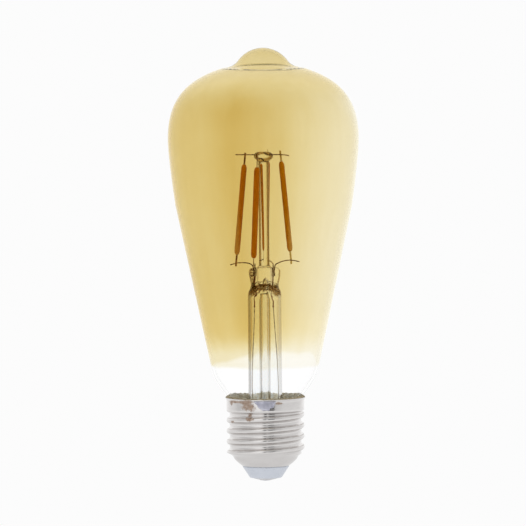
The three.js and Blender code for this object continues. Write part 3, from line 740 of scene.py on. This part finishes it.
def press_section(point):
    """Squeezes the round tube to the flat press, with a waist at its foot and a thick round ear
    down each side."""
    x, y, z = point
    radius = math.hypot(x, y)
    if radius < ON_AXIS or z > PRESS_TOP_Z + 0.4:
        return point
    reach = smoothstep(POST_RADIUS * 0.8, TUBE_RADIUS - 1, radius) if z > PRESS_TOP_Z - 1 else 1
    flat = smoothstep(61.2, 66, z) * reach  # how far it is squeezed
    wide = 1 - 0.19 * smoothstep(61.2, 65.2, z) + 0.11 * smoothstep(65.8, 69.5, z)
    wide *= 1.04 if x > 0 else 1
    across = abs(x) / radius
    ear = 1 - smoothstep(0.12, 0.45, abs(across * wide - 0.76))
    slab = 0.3 + 0.12 * ear
    return Vector((
        lerp(x, x * wide, flat),
        lerp(y, y * slab / max(0.45, math.sqrt(1 - min(0.8, across * across))), flat),
        z,
    ))


def melted_hollow(x, y, z):
    """The hollow under the press narrows upward to a thin wedge between folds of melted glass.
    Its roof peaks in the middle and droops at the sides, more on the left."""
    level = z + 0.3 * max(abs(x) - 1.4, 0)
    share = smoothstep(62.9, 64.5, level)
    wedge = smoothstep(61.4, HOLLOW_TOP_Z, level)
    slant = (x, 0.5 * y, z + 0.9 * abs(x - 0.3))
    folds = 0.9 * fractal(slant, 1.5, 3) + 0.5 * fractal(slant, 0.6, 5)
    peak = 1.2 * share * smoothstep(1.5, 0, abs(x - 0.5))
    droop = (0.7 if x < 0 else 0.4) * smoothstep(2.4, 4.6, abs(x)) * smoothstep(62, 65, z)
    y *= lerp(1, 0.1, wedge)
    y += 0.55 * folds * share * (1 if y > 0 else -1) * smoothstep(0.1, 1.2, abs(y))
    x *= 1 - 0.14 * smoothstep(61.5, 65.2, z)
    return Vector((x, y, z + peak - droop + 0.4 * folds * share))


def melted(point):
    """The mount's glass as it was squeezed while soft, outside and in."""
    radius = math.hypot(point.x, point.y)
    if radius < TUBE_RADIUS - GLASS_WALL + 0.1 and 58 < point.z < HOLLOW_TOP_Z + 1:
        return melted_hollow(*point)
    if radius > TUBE_RADIUS - 0.3 and 61 < point.z < PRESS_TOP_Z + 0.1:
        point = widened(point, 1 + 0.02 * fractal(point, 2.2, 11))
    return press_section(point)


def make_mount():
    down, right = (0, -1), (1, 0)

    # The bead on its post.
    path = [(0, BEAD_Z + BEAD_HALF_HEIGHT), (1.2, BEAD_Z + BEAD_HALF_HEIGHT)]
    bend_to(path, right, 1.4, (BEAD_RADIUS, BEAD_Z), down, 0.8, 10)
    bend_to(path, down, 0.9, (POST_RADIUS, BEAD_Z - BEAD_HALF_HEIGHT - 0.4), (-0.2, -1), 0.5, 10)
    straight_to(path, (POST_RADIUS, PRESS_TOP_Z + 0.9), 24)

    # The press and the tube below it.
    bend_to(path, down, 0.6, (POST_RADIUS + 0.7, PRESS_TOP_Z - 0.1), (1, -0.5), 0.3, 6)
    straight_to(path, (TUBE_RADIUS - 1.1, PRESS_TOP_Z - 0.35), 6)
    bend_to(path, right, 0.7, (TUBE_RADIUS, PRESS_TOP_Z - 1.6), down, 0.7, 8)
    straight_to(path, (TUBE_RADIUS, PRESS_FOOT_Z), 48)
    straight_to(path, (TUBE_RADIUS, FLARE_START_Z), 12)

    # The flare, out to the bulb's neck and back in.
    rim_z = NECK_END_Z - 0.1
    flare_start = len(path) - 1
    bend_to(path, down, 4.5, (9.6, rim_z), (1, -0.46), 2.8, 16)
    flare = path[flare_start:]
    path += [(NECK_RADIUS, rim_z), (NECK_RADIUS, rim_z - GLASS_WALL)]
    path += offset(flare, GLASS_WALL)[::-1]

    # The bore, up to the roof of the hollow.
    bore = TUBE_RADIUS - GLASS_WALL
    straight_to(path, (bore, PRESS_FOOT_Z), 12)
    straight_to(path, (bore, HOLLOW_TOP_Z - 0.4), 40)
    bend_to(path, (0, 1), 0.3, (bore - 0.5, HOLLOW_TOP_Z), (-1, 0), 0.3, 4)
    straight_to(path, (0, HOLLOW_TOP_Z), 24)
    mesh = revolved("mount_glass", path, 120, melted, 80)
    add_piece(mesh, GLASS_MOUNT, "clear_glass", "mount_tube", "mount_post")


def make_exhaust_tube():
    """A tube open at its top and drawn to a closed tip."""
    bore = EXHAUST_RADIUS - EXHAUST_WALL
    top_z = PRESS_FLOOR_Z - 0.4
    closed = 0.02
    path = [(bore, top_z), (bore + EXHAUST_WALL / 2, PRESS_FLOOR_Z), (EXHAUST_RADIUS, top_z)]
    straight_to(path, (EXHAUST_RADIUS, 21.5), 20)
    bend_to(path, (0, -1), 1.6, (0.25, EXHAUST_TIP_Z), (-1, -0.8), 1.3, 14)
    path[-1] = (closed, EXHAUST_TIP_Z)
    inside = [(closed, 19.6)]
    bend_to(inside, (1, 0.2), 0.5, (bore, 22), (0, 1), 1, 8)
    mesh = revolved("exhaust_tube_glass", path + inside, 64)
    add_piece(mesh, GLASS_EXHAUST, "clear_glass", "exhaust_tube")


# ---- Wires ----

SEAL_LEFT, SEAL_RIGHT = -3.4, 3.25  # x of the seal wires at their heads
LEAD_STEP = 0.25  # a lead and its branch lie this far each side of the seal wire below them
LEAD_FOOT_Z = 68.8
WELD_KNOT = 1.7  # times the wire's radius, where a seal wire is welded to its supply wire

LEAD = (0.19, NICKEL_WIRE, "lead_wire")  # radius, material and slot
SEAL = (0.2, SEAL_WIRE, "seal_wire")
SUPPLY = (0.14, SUPPLY_WIRE, "copper_wire")
SHELL_WIRE, CONTACT_WIRE, ANTENNA = [(radius, COPPER_WIRE, "copper_wire") for radius in (0.2, 0.25, 0.15)]

WIRES = {  # piece: CAD node, kind and route
    "wire_across": ("cross_wire", LEAD, [
        (-9.35, 0, 109.5), (-5, 0, 109.45), (0, 0, 109.4), (5, 0, 109.4), (7.4, 0, 109.25), (8.6, 0, 109)]),
    "wire_front_to_back": ("depth_wire", LEAD, [
        (-2.3, -8.4, 108.35), (-1.5, -5.6, 108.4), (0, 0, 108.3), (0.9, 5.9, 108.4), (1.3, 8.5, 108.3)]),
    "lead_to_left": ("left_lead", LEAD, [
        (SEAL_LEFT - LEAD_STEP, 0, LEAD_FOOT_Z), (SEAL_LEFT - LEAD_STEP, 0, 71.5), (-4.05, -0.1, 72.4),
        (-5, -0.25, 73), (-7.2, -0.3, 73.3), (-9.4, -0.3, 73.15), (-11.4, -0.3, 72.6)]),
    "lead_to_right": ("right_lead", LEAD, [
        (SEAL_RIGHT + LEAD_STEP, 0, LEAD_FOOT_Z), (SEAL_RIGHT + LEAD_STEP, 0, 71.6), (3.75, 0, 72.5),
        (4.9, 0.05, 73.2), (7, 0.05, 73.85), (9.1, 0, 74), (11.8, -0.1, 73.5)]),
    "lead_to_front": ("front_branch_wire", LEAD, [
        (SEAL_LEFT + LEAD_STEP, 0, LEAD_FOOT_Z), (SEAL_LEFT + LEAD_STEP, 0, 71.8), (-3.15, -0.5, 72.6),
        (-3.15, -3, 73), (-3.1, -6.5, 73.1), (-3.05, -10.6, 73.1)]),
    "lead_to_back": ("back_branch_wire", LEAD, [
        (SEAL_RIGHT - LEAD_STEP, 0, LEAD_FOOT_Z), (SEAL_RIGHT - LEAD_STEP, 0, 71.8), (2.95, 0.5, 72.6),
        (2.5, 2.6, 73.2), (1.8, 5.2, 73.6), (1.15, 8, 73.9), (0.9, 10.6, 73.9)]),
    "seal_wire_left": ("left_seal_wire", SEAL, [
        (SEAL_LEFT, 0, 58.3), (SEAL_LEFT, 0, 59), (SEAL_LEFT, 0, 62), (SEAL_LEFT - 0.25, 0, 65),
        (SEAL_LEFT, 0, 68.9)]),
    "seal_wire_right": ("right_seal_wire", SEAL, [
        (2.9, 0, 58.3), (2.9, 0, 59), (2.95, 0, 62), (3.1, 0, 65), (SEAL_RIGHT, 0, 68.9)]),
    "supply_wire_left": ("left_supply_wire", SUPPLY, [
        (SEAL_LEFT, 0, 58.7), (-3.6, 0, 52), (-4.1, 0, 42), (-4.4, 0, 33), (-4.4, 0.5, 24),
        (-4.9, 1.2, 16.1)]),
    "supply_wire_right": ("right_supply_wire", SUPPLY, [
        (2.9, 0, 58.7), (3.4, 0, 51), (4.1, 0, 41), (4.45, 0, 33), (4.5, -0.5, 24), (5.2, -1.4, 16.1)]),
    "wire_to_shell": ("shell_wire", SHELL_WIRE, [
        (-0.3, -10, 16.1), (-0.3, -10.2, 17.2), (-0.3, -11.35, 20), (-0.3, -11.5, 23), (-0.3, -12.05, 26),
        (-0.3, -12.8, 27.7), (-0.3, -13.05, 27.4), (-0.3, -13.08, 27.0), (-0.3, -13.08, 26.6)]),
    "wire_to_contact": ("contact_wire", CONTACT_WIRE, [
        (7.3, 0, 8.8), (7.2, 0, 8.1), (6.5, 0, 6.6), (5.3, 0, 4.9), (3.4, 0, 3.4), (1.3, 0, 3.15),
        (0.3, 0, 2.5), (0, 0, 1.4)]),
    "antenna": ("antenna_wire", ANTENNA, [
        (-2.9, 4.3, 17.1), (-2.95, 3.9, 19), (-2.4, 3.4, 22.5), (-1.9, 3.1, 26.2)]),
}


def make_wires():
    for name, (node, kind, route) in WIRES.items():
        radius, material, slot = kind
        foot = WELD_KNOT if kind is SEAL else 1
        add_piece(wire_curve(name, route, radius, foot), material, slot, node)


# ---- Filaments ----

# The right filament gets lit copies of the coating and tab materials and the back one a lit tab, for
# painted light; the left and front tabs are the shaded copy, for painted shade.
FILAMENTS = {  # foot, head, turn of the flat tabs, coating's drop and radius, coating and tab materials
    "left": ((-9.52, -0.68, 72.1), (-6.05, -0.38, 110.3), 0, 0, 0.89, PHOSPHOR, SHADED_TAB),
    "right": ((9.1, 0.42, 72.7), (5.58, 0.38, 111), 0, -0.3, 0.89, LIT_PHOSPHOR, LIT_TAB),
    "front": (
        (-3.62, -9.1, 72.2), (-1.97, -5.7, 110.05), math.radians(78), 0.85, 0.94, PHOSPHOR, SHADED_TAB,
    ),
    "back": ((0.56, 9.4, 72.9), (1.42, 5.9, 110.9), math.radians(86), 0, 0.85, PHOSPHOR, LIT_TAB),
}
BLUNT_END = [  # share of the coating's radius, and distance from its end
    (0, 0), (0.35, 0), (0.54, 0.12), (0.73, 0.38), (0.89, 0.75), (0.97, 1.15), (1, 1.7),
]
COATING_STEPS = 60


def filament_matrix(side):
    foot, head, turn = FILAMENTS[side][:3]
    along = (Vector(head) - Vector(foot)).normalized()
    swing = Vector((0, 0, 1)).rotation_difference(along).to_matrix().to_4x4()
    return Matrix.Translation(Vector(foot) * MM) @ swing @ Matrix.Rotation(turn, 4, "Z")


def make_filament(side, seed):
    """A coated carrier strip with a tab at each end, built upright on its foot and then leaned."""
    drop, radius, silicone, tab_metal = FILAMENTS[side][3:]
    strip = FILAMENT_LENGTH - 2 * TAB_LENGTH
    middle = FILAMENT_LENGTH / 2 - drop
    blunt = [(share * radius, z) for share, z in BLUNT_END]
    blunt_length = BLUNT_END[-1][1]
    step = (strip - 2 * blunt_length) / COATING_STEPS
    rows = [(radius, blunt_length + i * step) for i in range(1, COATING_STEPS)]
    lower = [(r, middle - strip / 2 + z) for r, z in blunt + rows]
    upper = [(r, middle + strip / 2 - z) for r, z in blunt]

    def cast(point):
        lump = 1.04
        if point.xy.length > 0.2:
            lump += 0.035 * fractal(point, 2.4, seed)
        return widened(point, lump)

    def add_part(mesh, height, material, slot, part):
        mesh.transform(filament_matrix(side) @ Matrix.Translation((0, 0, height * MM)))
        add_piece(mesh, material, slot, f"filament_{side}_{part}")

    coating = revolved(f"coating_{side}", lower + upper[::-1], 28, cast, 70)
    add_part(coating, 0, silicone, "phosphor_silicone", "coating")
    carrier = rounded_block(f"carrier_{side}", (*CARRIER_SECTION, strip + CARRIER_OVERLAP))
    add_part(carrier, middle, SUBSTRATE, "filament_substrate", "carrier")
    for end, length in (("lower", TAB_LENGTH - drop), ("upper", TAB_LENGTH + drop)):
        tab = rounded_block(f"tab_{side}_{end}", (*TAB_SECTION, length))
        height = length / 2 if end == "lower" else FILAMENT_LENGTH - length / 2
        add_part(tab, height, tab_metal, "lead_wire", f"{end}_tab")


# ---- Screw cap ----


def thread_drop(height):
    """How far the rolled sheet lies inside the crest, at a height along the thread from a crest."""
    quarter = THREAD_PITCH / 4
    away = abs((height + 2 * quarter) % THREAD_PITCH - 2 * quarter)

    def sag(distance):
        return THREAD_ARC - math.sqrt(THREAD_ARC**2 - distance**2)

    return sag(away) if away < quarter else 2 * sag(quarter) - sag(2 * quarter - away)


def shell_thread(inset):
    """Rolls the thread into the shell's outer face, or into its inner face, which is inset."""

    def warp(point):
        radius = math.hypot(point.x, point.y)
        if radius < LIP_RADIUS - 0.5 or point.z > THREAD_FADE[1]:
            return point
        angle = math.atan2(point.y, point.x)
        crest_z = CREST_AT_LEFT_Z + THREAD_PITCH * (angle - math.pi) / TAU
        fade = 1 - smoothstep(*THREAD_FADE, point.z)
        pressed = CREST_RADIUS - inset - fade * thread_drop(point.z - crest_z)
        return widened(point, min(1, pressed / radius))

    return warp


def spline(knots, steps):
    """A smooth line through the knots."""
    ends = [2 * Vector(knots[0]) - Vector(knots[1])] + [Vector(k) for k in knots]
    ends.append(2 * ends[-1] - ends[-2])
    path = [tuple(knots[0])]
    for before, start, end, after in zip(ends, ends[1:], ends[2:], ends[3:]):
        path += bezier(start, start + (end - before) / 6, end - (after - start) / 6, end, steps)
    return path


def make_shell():
    outside = [(RIM_RADIUS - 0.06, CAP_RIM_Z)]
    bend_to(outside, (1, -0.2), 0.05, (RIM_RADIUS, CAP_RIM_Z - 0.15), (0, -1), 0.05, 3)
    bend_to(outside, (0, -1), 0.3, (CREST_RADIUS, CAP_RIM_Z - 0.95), (0, -1), 0.45, 8)
    straight_to(outside, (CREST_RADIUS, THREAD_FADE[1]), 10)
    straight_to(outside, (CREST_RADIUS, CAP_SHOULDER_Z), 120)
    shoulder = [outside[-1], (11.8, 8.9), (11.05, 8.3), (10.45, 7.3), (9.3, 6.15), (LIP_RADIUS, LIP_Z)]
    outside += spline(shoulder, 8)[1:]
    inside = offset(outside, SHEET)
    warps = [shell_thread(0)] * len(outside) + [shell_thread(SHEET)] * len(inside)
    mesh = revolved("cap_shell", outside + inside[::-1], 200, warps, 60)
    add_piece(mesh, SHELL_PLATE, "nickel_plate", "screw_shell")


def make_cement():
    """Cement between glass and shell: it overflows the rim in a ragged edge."""
    path = [(10.98, 24.5), (11.2, 26), (11.55, 27)]
    straight_to(path, (12.05, 28), 3)
    straight_to(path, (12.3, 28.42), 4)
    straight_to(path, (12.8, 28.4), 5)
    straight_to(path, (13.3, 28.22), 5)
    path += [(13.32, 28.12), (13.15, 28.1), (12.8, 27.2), (12.75, 24.5)]

    def crumble(point):
        if point.z < 28.2:
            return point
        radius = math.hypot(point.x, point.y)
        at_sides = smoothstep(0.5, 0.9, abs(point.x) / radius)
        creep = smoothstep(13.1, 12.4, radius) * (0.3 * at_sides - 0.05)
        spikes = fractal(point, 0.5, 31, 4)
        lumps = fractal(point, 1.8, 32, 3)
        lift = creep + smoothstep(13.3, 12.9, radius) * (0.34 * spikes + 0.12 * lumps)
        return widened(point, 1 + 0.08 * spikes / radius, lift)

    mesh = revolved("cement", path, 420, crumble, 60)
    add_piece(mesh, CEMENT, "cement", "basing_cement")


SOLDER_OUTLINE = [  # across and up, as seen from the front
    (-4.05, 27.45), (-3.5, 26.9), (-2.7, 26.2), (-2.2, 25.4), (-1.5, 24.9), (-0.9, 24.45), (0.2, 24.55),
    (1.2, 24.4), (1.6, 25.2), (2.3, 25.35), (2.9, 25.5), (2.95, 26.1), (3.2, 26.6), (3.45, 27.45),
    (2.4, 27.7), (1.2, 27.6), (0, 27.75), (-1.4, 27.65), (-2.6, 27.7),
]
SOLDER_CENTRE = Vector((-0.3, 26.3))
SOLDER_HEIGHT = 0.36
SOLDER_SUNK = 0.03  # how far its edge lies under the shell's face
SOLDER_RINGS = 12


def on_shell(flat, height):
    """A point of the skirt, by its place on the sheet laid flat and its height over the metal."""
    radius = CREST_RADIUS + 0.4 * smoothstep(27.1, 28.1, flat.y) + height
    return turned(radius, flat.x / CREST_RADIUS - math.pi / 2, flat.y)


def make_side_solder():
    """Solder run down the skirt from the rim: a closed lens of metal on the round of the shell."""
    outline = []
    for start, end in zip(SOLDER_OUTLINE, SOLDER_OUTLINE[1:] + SOLDER_OUTLINE[:1]):
        outline += [Vector(start).lerp(Vector(end), j / 5) for j in range(5)]
    points, faces = [], []
    for ring in range(1, SOLDER_RINGS + 1):
        share = ring / SOLDER_RINGS
        for corner in outline:
            fray = 0.1 * fractal((*corner, 0), 0.5, 41)
            flat = SOLDER_CENTRE.lerp(corner + (corner - SOLDER_CENTRE) * fray, share)
            wrinkle = 0.05 * fractal((*flat, 0), 0.9, 42) * (1 - share)
            height = SOLDER_HEIGHT * math.sqrt(1 - share**6) + wrinkle - SOLDER_SUNK
            points.append(on_shell(flat, height))
    top, under = len(points), len(points) + 1
    points += [on_shell(SOLDER_CENTRE, SOLDER_HEIGHT - SOLDER_SUNK), on_shell(SOLDER_CENTRE, -0.1)]
    count = len(outline)
    last = (SOLDER_RINGS - 1) * count
    for i in range(count):
        j = (i + 1) % count
        faces.append((top, i, j))
        faces.append((under, last + j, last + i))
        for inner in range(0, last, count):
            outer = inner + count
            faces.append((inner + i, outer + i, outer + j, inner + j))
    mesh = mesh_from("solder_on_skirt", points, faces, 60)
    add_piece(mesh, SOLDER, "solder", "side_solder")


def make_base():
    """The insulator cone, the domed centre contact and the drop of solder on it."""
    cone = [(8.5, 8.4), (9.3, 8.4), (9.3, 7.2), (8.6, 6.6), (7.65, 6.1), (7.65, 5.15)]
    bend_to(cone, (0.3, -1), 0.1, (7.78, 4.75), (-0.3, -1), 0.1, 4)
    straight_to(cone, (5.4, 1.15), 8)
    bend_to(cone, (-0.56, -0.83), 0.05, (5.2, 1.08), (-1, 0), 0.1, 3)
    cone += [(5.05, 1.08), (5.05, 1.6), (1, 1.6), (1, 2.6), (5.1, 2.6), (6.4, 4.8)]
    mesh = revolved("insulator_cone", cone, 160)
    add_piece(mesh, INSULATOR, "insulator_plastic", "insulator")

    radii = [CONTACT_RADIUS * i / 16 for i in range(4, 17)]
    under = [(r, CONTACT_HOLLOW + r * r / (2 * CONTACT_CURVE)) for r in radii]
    over = [(r, z + CONTACT_SHEET) for r, z in under]
    plate = under + [(CONTACT_RADIUS + 0.08, 1.3)] + over[::-1]
    mesh = revolved("contact_plate", plate, 128)
    add_piece(mesh, PLATE, "nickel_plate", "centre_contact")

    drop = [(0, 0)]
    bend_to(drop, (1, 0), 0.8, (2.05, 0.27), (1, 0.5), 0.4, 8)
    drop += [(1.24, 0.3), (1.15, 1.1), (0, 1.3)]

    def settle(point):
        wobble = 1 + 0.08 * fractal((*point.xy, 0), 1.5, 51) * smoothstep(1.2, 2, point.xy.length)
        return widened(point, wobble)

    mesh = revolved("contact_drop", drop, 72, settle)
    add_piece(mesh, SOLDER, "solder", "contact_solder")


# ---- Driver and radio, inside the cap ----

INNER_PARTS = {  # CAD node: material
    "insulating_sleeve": SLEEVE,
    "driver_board": BOARD_GREEN,
    "smoothing_capacitor": CAN_SLEEVE,
    "bridge_rectifier": PACKAGE,
    "driver_chip": PACKAGE,
    "inductor_core": FERRITE,
    "inductor_winding": ENAMELLED_COPPER,
    "fuse_resistor": LACQUER,
    "film_capacitor": FILM_BOX,
    "sense_resistor": PACKAGE,
    "radio_board": BOARD_BLACK,
    "radio_shield": PLATE,
    "radio_crystal": CRYSTAL,
}


def dress_inner_parts():
    """Gives the CAD's own parts their finish, with softened edges."""
    for node, material in INNER_PARTS.items():
        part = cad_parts[node]
        part.data.materials.clear()
        part.data.materials.append(material)
        soften = part.modifiers.new("soft_edges", "BEVEL")
        soften.width = 0.06 * MM
        soften.segments = 2
        soften.limit_method = "ANGLE"
        soften.angle_limit = math.radians(50)


# ---- Stage ----

WHITE = 0.973  # linear value of the backdrop
BACKLIGHT = 1.075  # the backdrop as it shines through the glass, a little over white
DARK_CORNER, PALE_CORNER = 0.55, 0.8  # to the left and to the right
STUDIO = [  # brightness of the room for reflections, by degrees to the right of the camera
    (-150, 1.06), (-112, 0.9), (-82, 0.7), (-50, 0.8), (-36, 1.0), (-18, 1.1), (-4, 0.7),
    (28, 0.6), (40, 0.68), (62, 0.83), (112, 0.86), (150, 1.06),
]
STEEP_LIGHT = 0.14  # steeply above and below, from the lamp to the back, for reflections
DARK_CARDS = [(-8, 2.5), (6.5, 28)]  # degrees to the right of the camera, level with it
CARD_LIGHT = 0.06
CARD_BLUR = 0.03
DIFFUSE_LIGHT = 1.08  # the room's brightness where it lights matt surfaces
CREVICE_LIGHT = (2.4, 2.6, 3.0)  # the same behind the bulb, where its glass pipes light down
BOUNCED = 0.5  # more glossy or diffuse bounces than this
IN_MOUNT = 4.5  # more faces of glass crossed than this
BEHIND_BULB = 7.5  # the same
FLOOR_RADIUS = 250
FLOOR_SHADE = 0.82  # under the lamp


def grey(value):
    return (value, value, value)


def room_light(tree, reflected, rightward):
    """The room's brightness as the camera sees it, as it shines through glass, and as surfaces
    reflect it. Light that has bounced about inside the mount's glass comes from the dark corners
    of the room, which draws the edges of the tubes, darkest on the left."""
    path = tree.add("LightPath").node.outputs

    def over(depth, limit):
        return tree.math("GREATER_THAN", path[depth], limit)

    through = path["Is Transmission Ray"]
    light = tree.mix(path["Is Camera Ray"], reflected, grey(WHITE))
    light = tree.mix(through, light, grey(BACKLIGHT))
    crossed = "Transmission Depth"
    matt = tree.mix(over(crossed, BEHIND_BULB), grey(DIFFUSE_LIGHT), CREVICE_LIGHT)
    light = tree.mix(over("Diffuse Depth", BOUNCED), light, matt)
    piped = tree.product(over(crossed, IN_MOUNT), over("Glossy Depth", BOUNCED), through)
    corner = tree.mix(tree.smooth(rightward, -0.02, 0.02), grey(DARK_CORNER), grey(PALE_CORNER))
    return tree.mix(piped, light, corner)


def make_world():
    """A white studio. For reflections it is uneven round the lamp, dark at steep angles, and has
    dark cards standing in front."""
    world = bpy.data.worlds.new("studio")
    bpy.context.scene.world = world
    world.use_nodes = True
    tree = Tree(world.node_tree)
    way = tree.add("TexCoord", output="Generated")
    x, y, z = tree.split(way)
    turn = tree.math("ARCTAN2", x, tree.math("MULTIPLY", y, -1))
    share = tree.math("MULTIPLY_ADD", turn, 1 / TAU, 0.5)
    around = tree.ramp(share, [(angle / 360 + 0.5, value) for angle, value in STUDIO], "EASE")
    tilt = tree.away(z)
    for card_edges in DARK_CARDS:
        left, right = map(math.radians, card_edges)
        sides = (turn, left, left + CARD_BLUR), (turn, right, right - CARD_BLUR)
        card = tree.overlap(*sides, (tilt, 0.34, 0.22))
        around = tree.mix(card, around, grey(CARD_LIGHT))
    steep = tree.overlap((tilt, 0.84, 0.93), (y, -0.25, 0.05))
    around = tree.mix(steep, around, grey(STEEP_LIGHT))
    background = tree.add("Background", {"Color": room_light(tree, around, x)})
    tree.add("OutputWorld", {"Surface": background})


def make_floor():
    sides = 96
    corners = [turned(FLOOR_RADIUS, TAU * i / sides, 0) for i in range(sides)]
    floor = new_object(mesh_from("floor", corners, [range(sides)]))
    material = bpy.data.materials.new("pale_floor")
    material.use_nodes = True
    tree = Tree(material.node_tree)
    place = tree.position()
    shaded = tree.mix(tree.smooth(tree.off_axis(place), 8, 60), grey(FLOOR_SHADE), grey(WHITE))
    light = room_light(tree, shaded, tree.split(place)[0])
    glow = tree.add("Emission", {"Color": light})
    tree.add("OutputMaterial", {"Surface": glow})
    floor.data.materials.append(material)


CAMERA_DISTANCE = 2000
CAMERA_RISE = math.radians(3.3)
CAMERA_ROLL = math.radians(0.45)
CAMERA_AIM = (-0.42, 0, 73.1)
FIELD_WIDTH = 176.2  # millimetres across the picture at the lamp


def make_camera():
    camera = new_object(bpy.data.cameras.new("camera"))
    camera.data.sensor_width = 36
    camera.data.lens = camera.data.sensor_width * CAMERA_DISTANCE / FIELD_WIDTH
    away = Vector((0, -math.cos(CAMERA_RISE), math.sin(CAMERA_RISE)))
    camera.location = (Vector(CAMERA_AIM) + away * CAMERA_DISTANCE) * MM
    look = (-away).to_track_quat("-Z", "Y").to_matrix()
    camera.rotation_euler = (look @ Matrix.Rotation(-CAMERA_ROLL, 3, "Z")).to_euler()
    camera.data.clip_start, camera.data.clip_end = 0.1, 20
    bpy.context.scene.camera = camera


def set_look():
    scene = bpy.context.scene
    scene.view_settings.view_transform = "Standard"
    scene.view_settings.look = "None"
    scene.cycles.max_bounces = 24
    scene.cycles.transmission_bounces = 24
    scene.cycles.glossy_bounces = 16


make_bulb()
make_mount()
make_exhaust_tube()
make_wires()
for seed, side in enumerate(FILAMENTS, 20):
    make_filament(side, seed)
make_shell()
make_cement()
make_side_solder()
make_base()
dress_inner_parts()
make_world()
make_floor()
make_camera()
set_look()
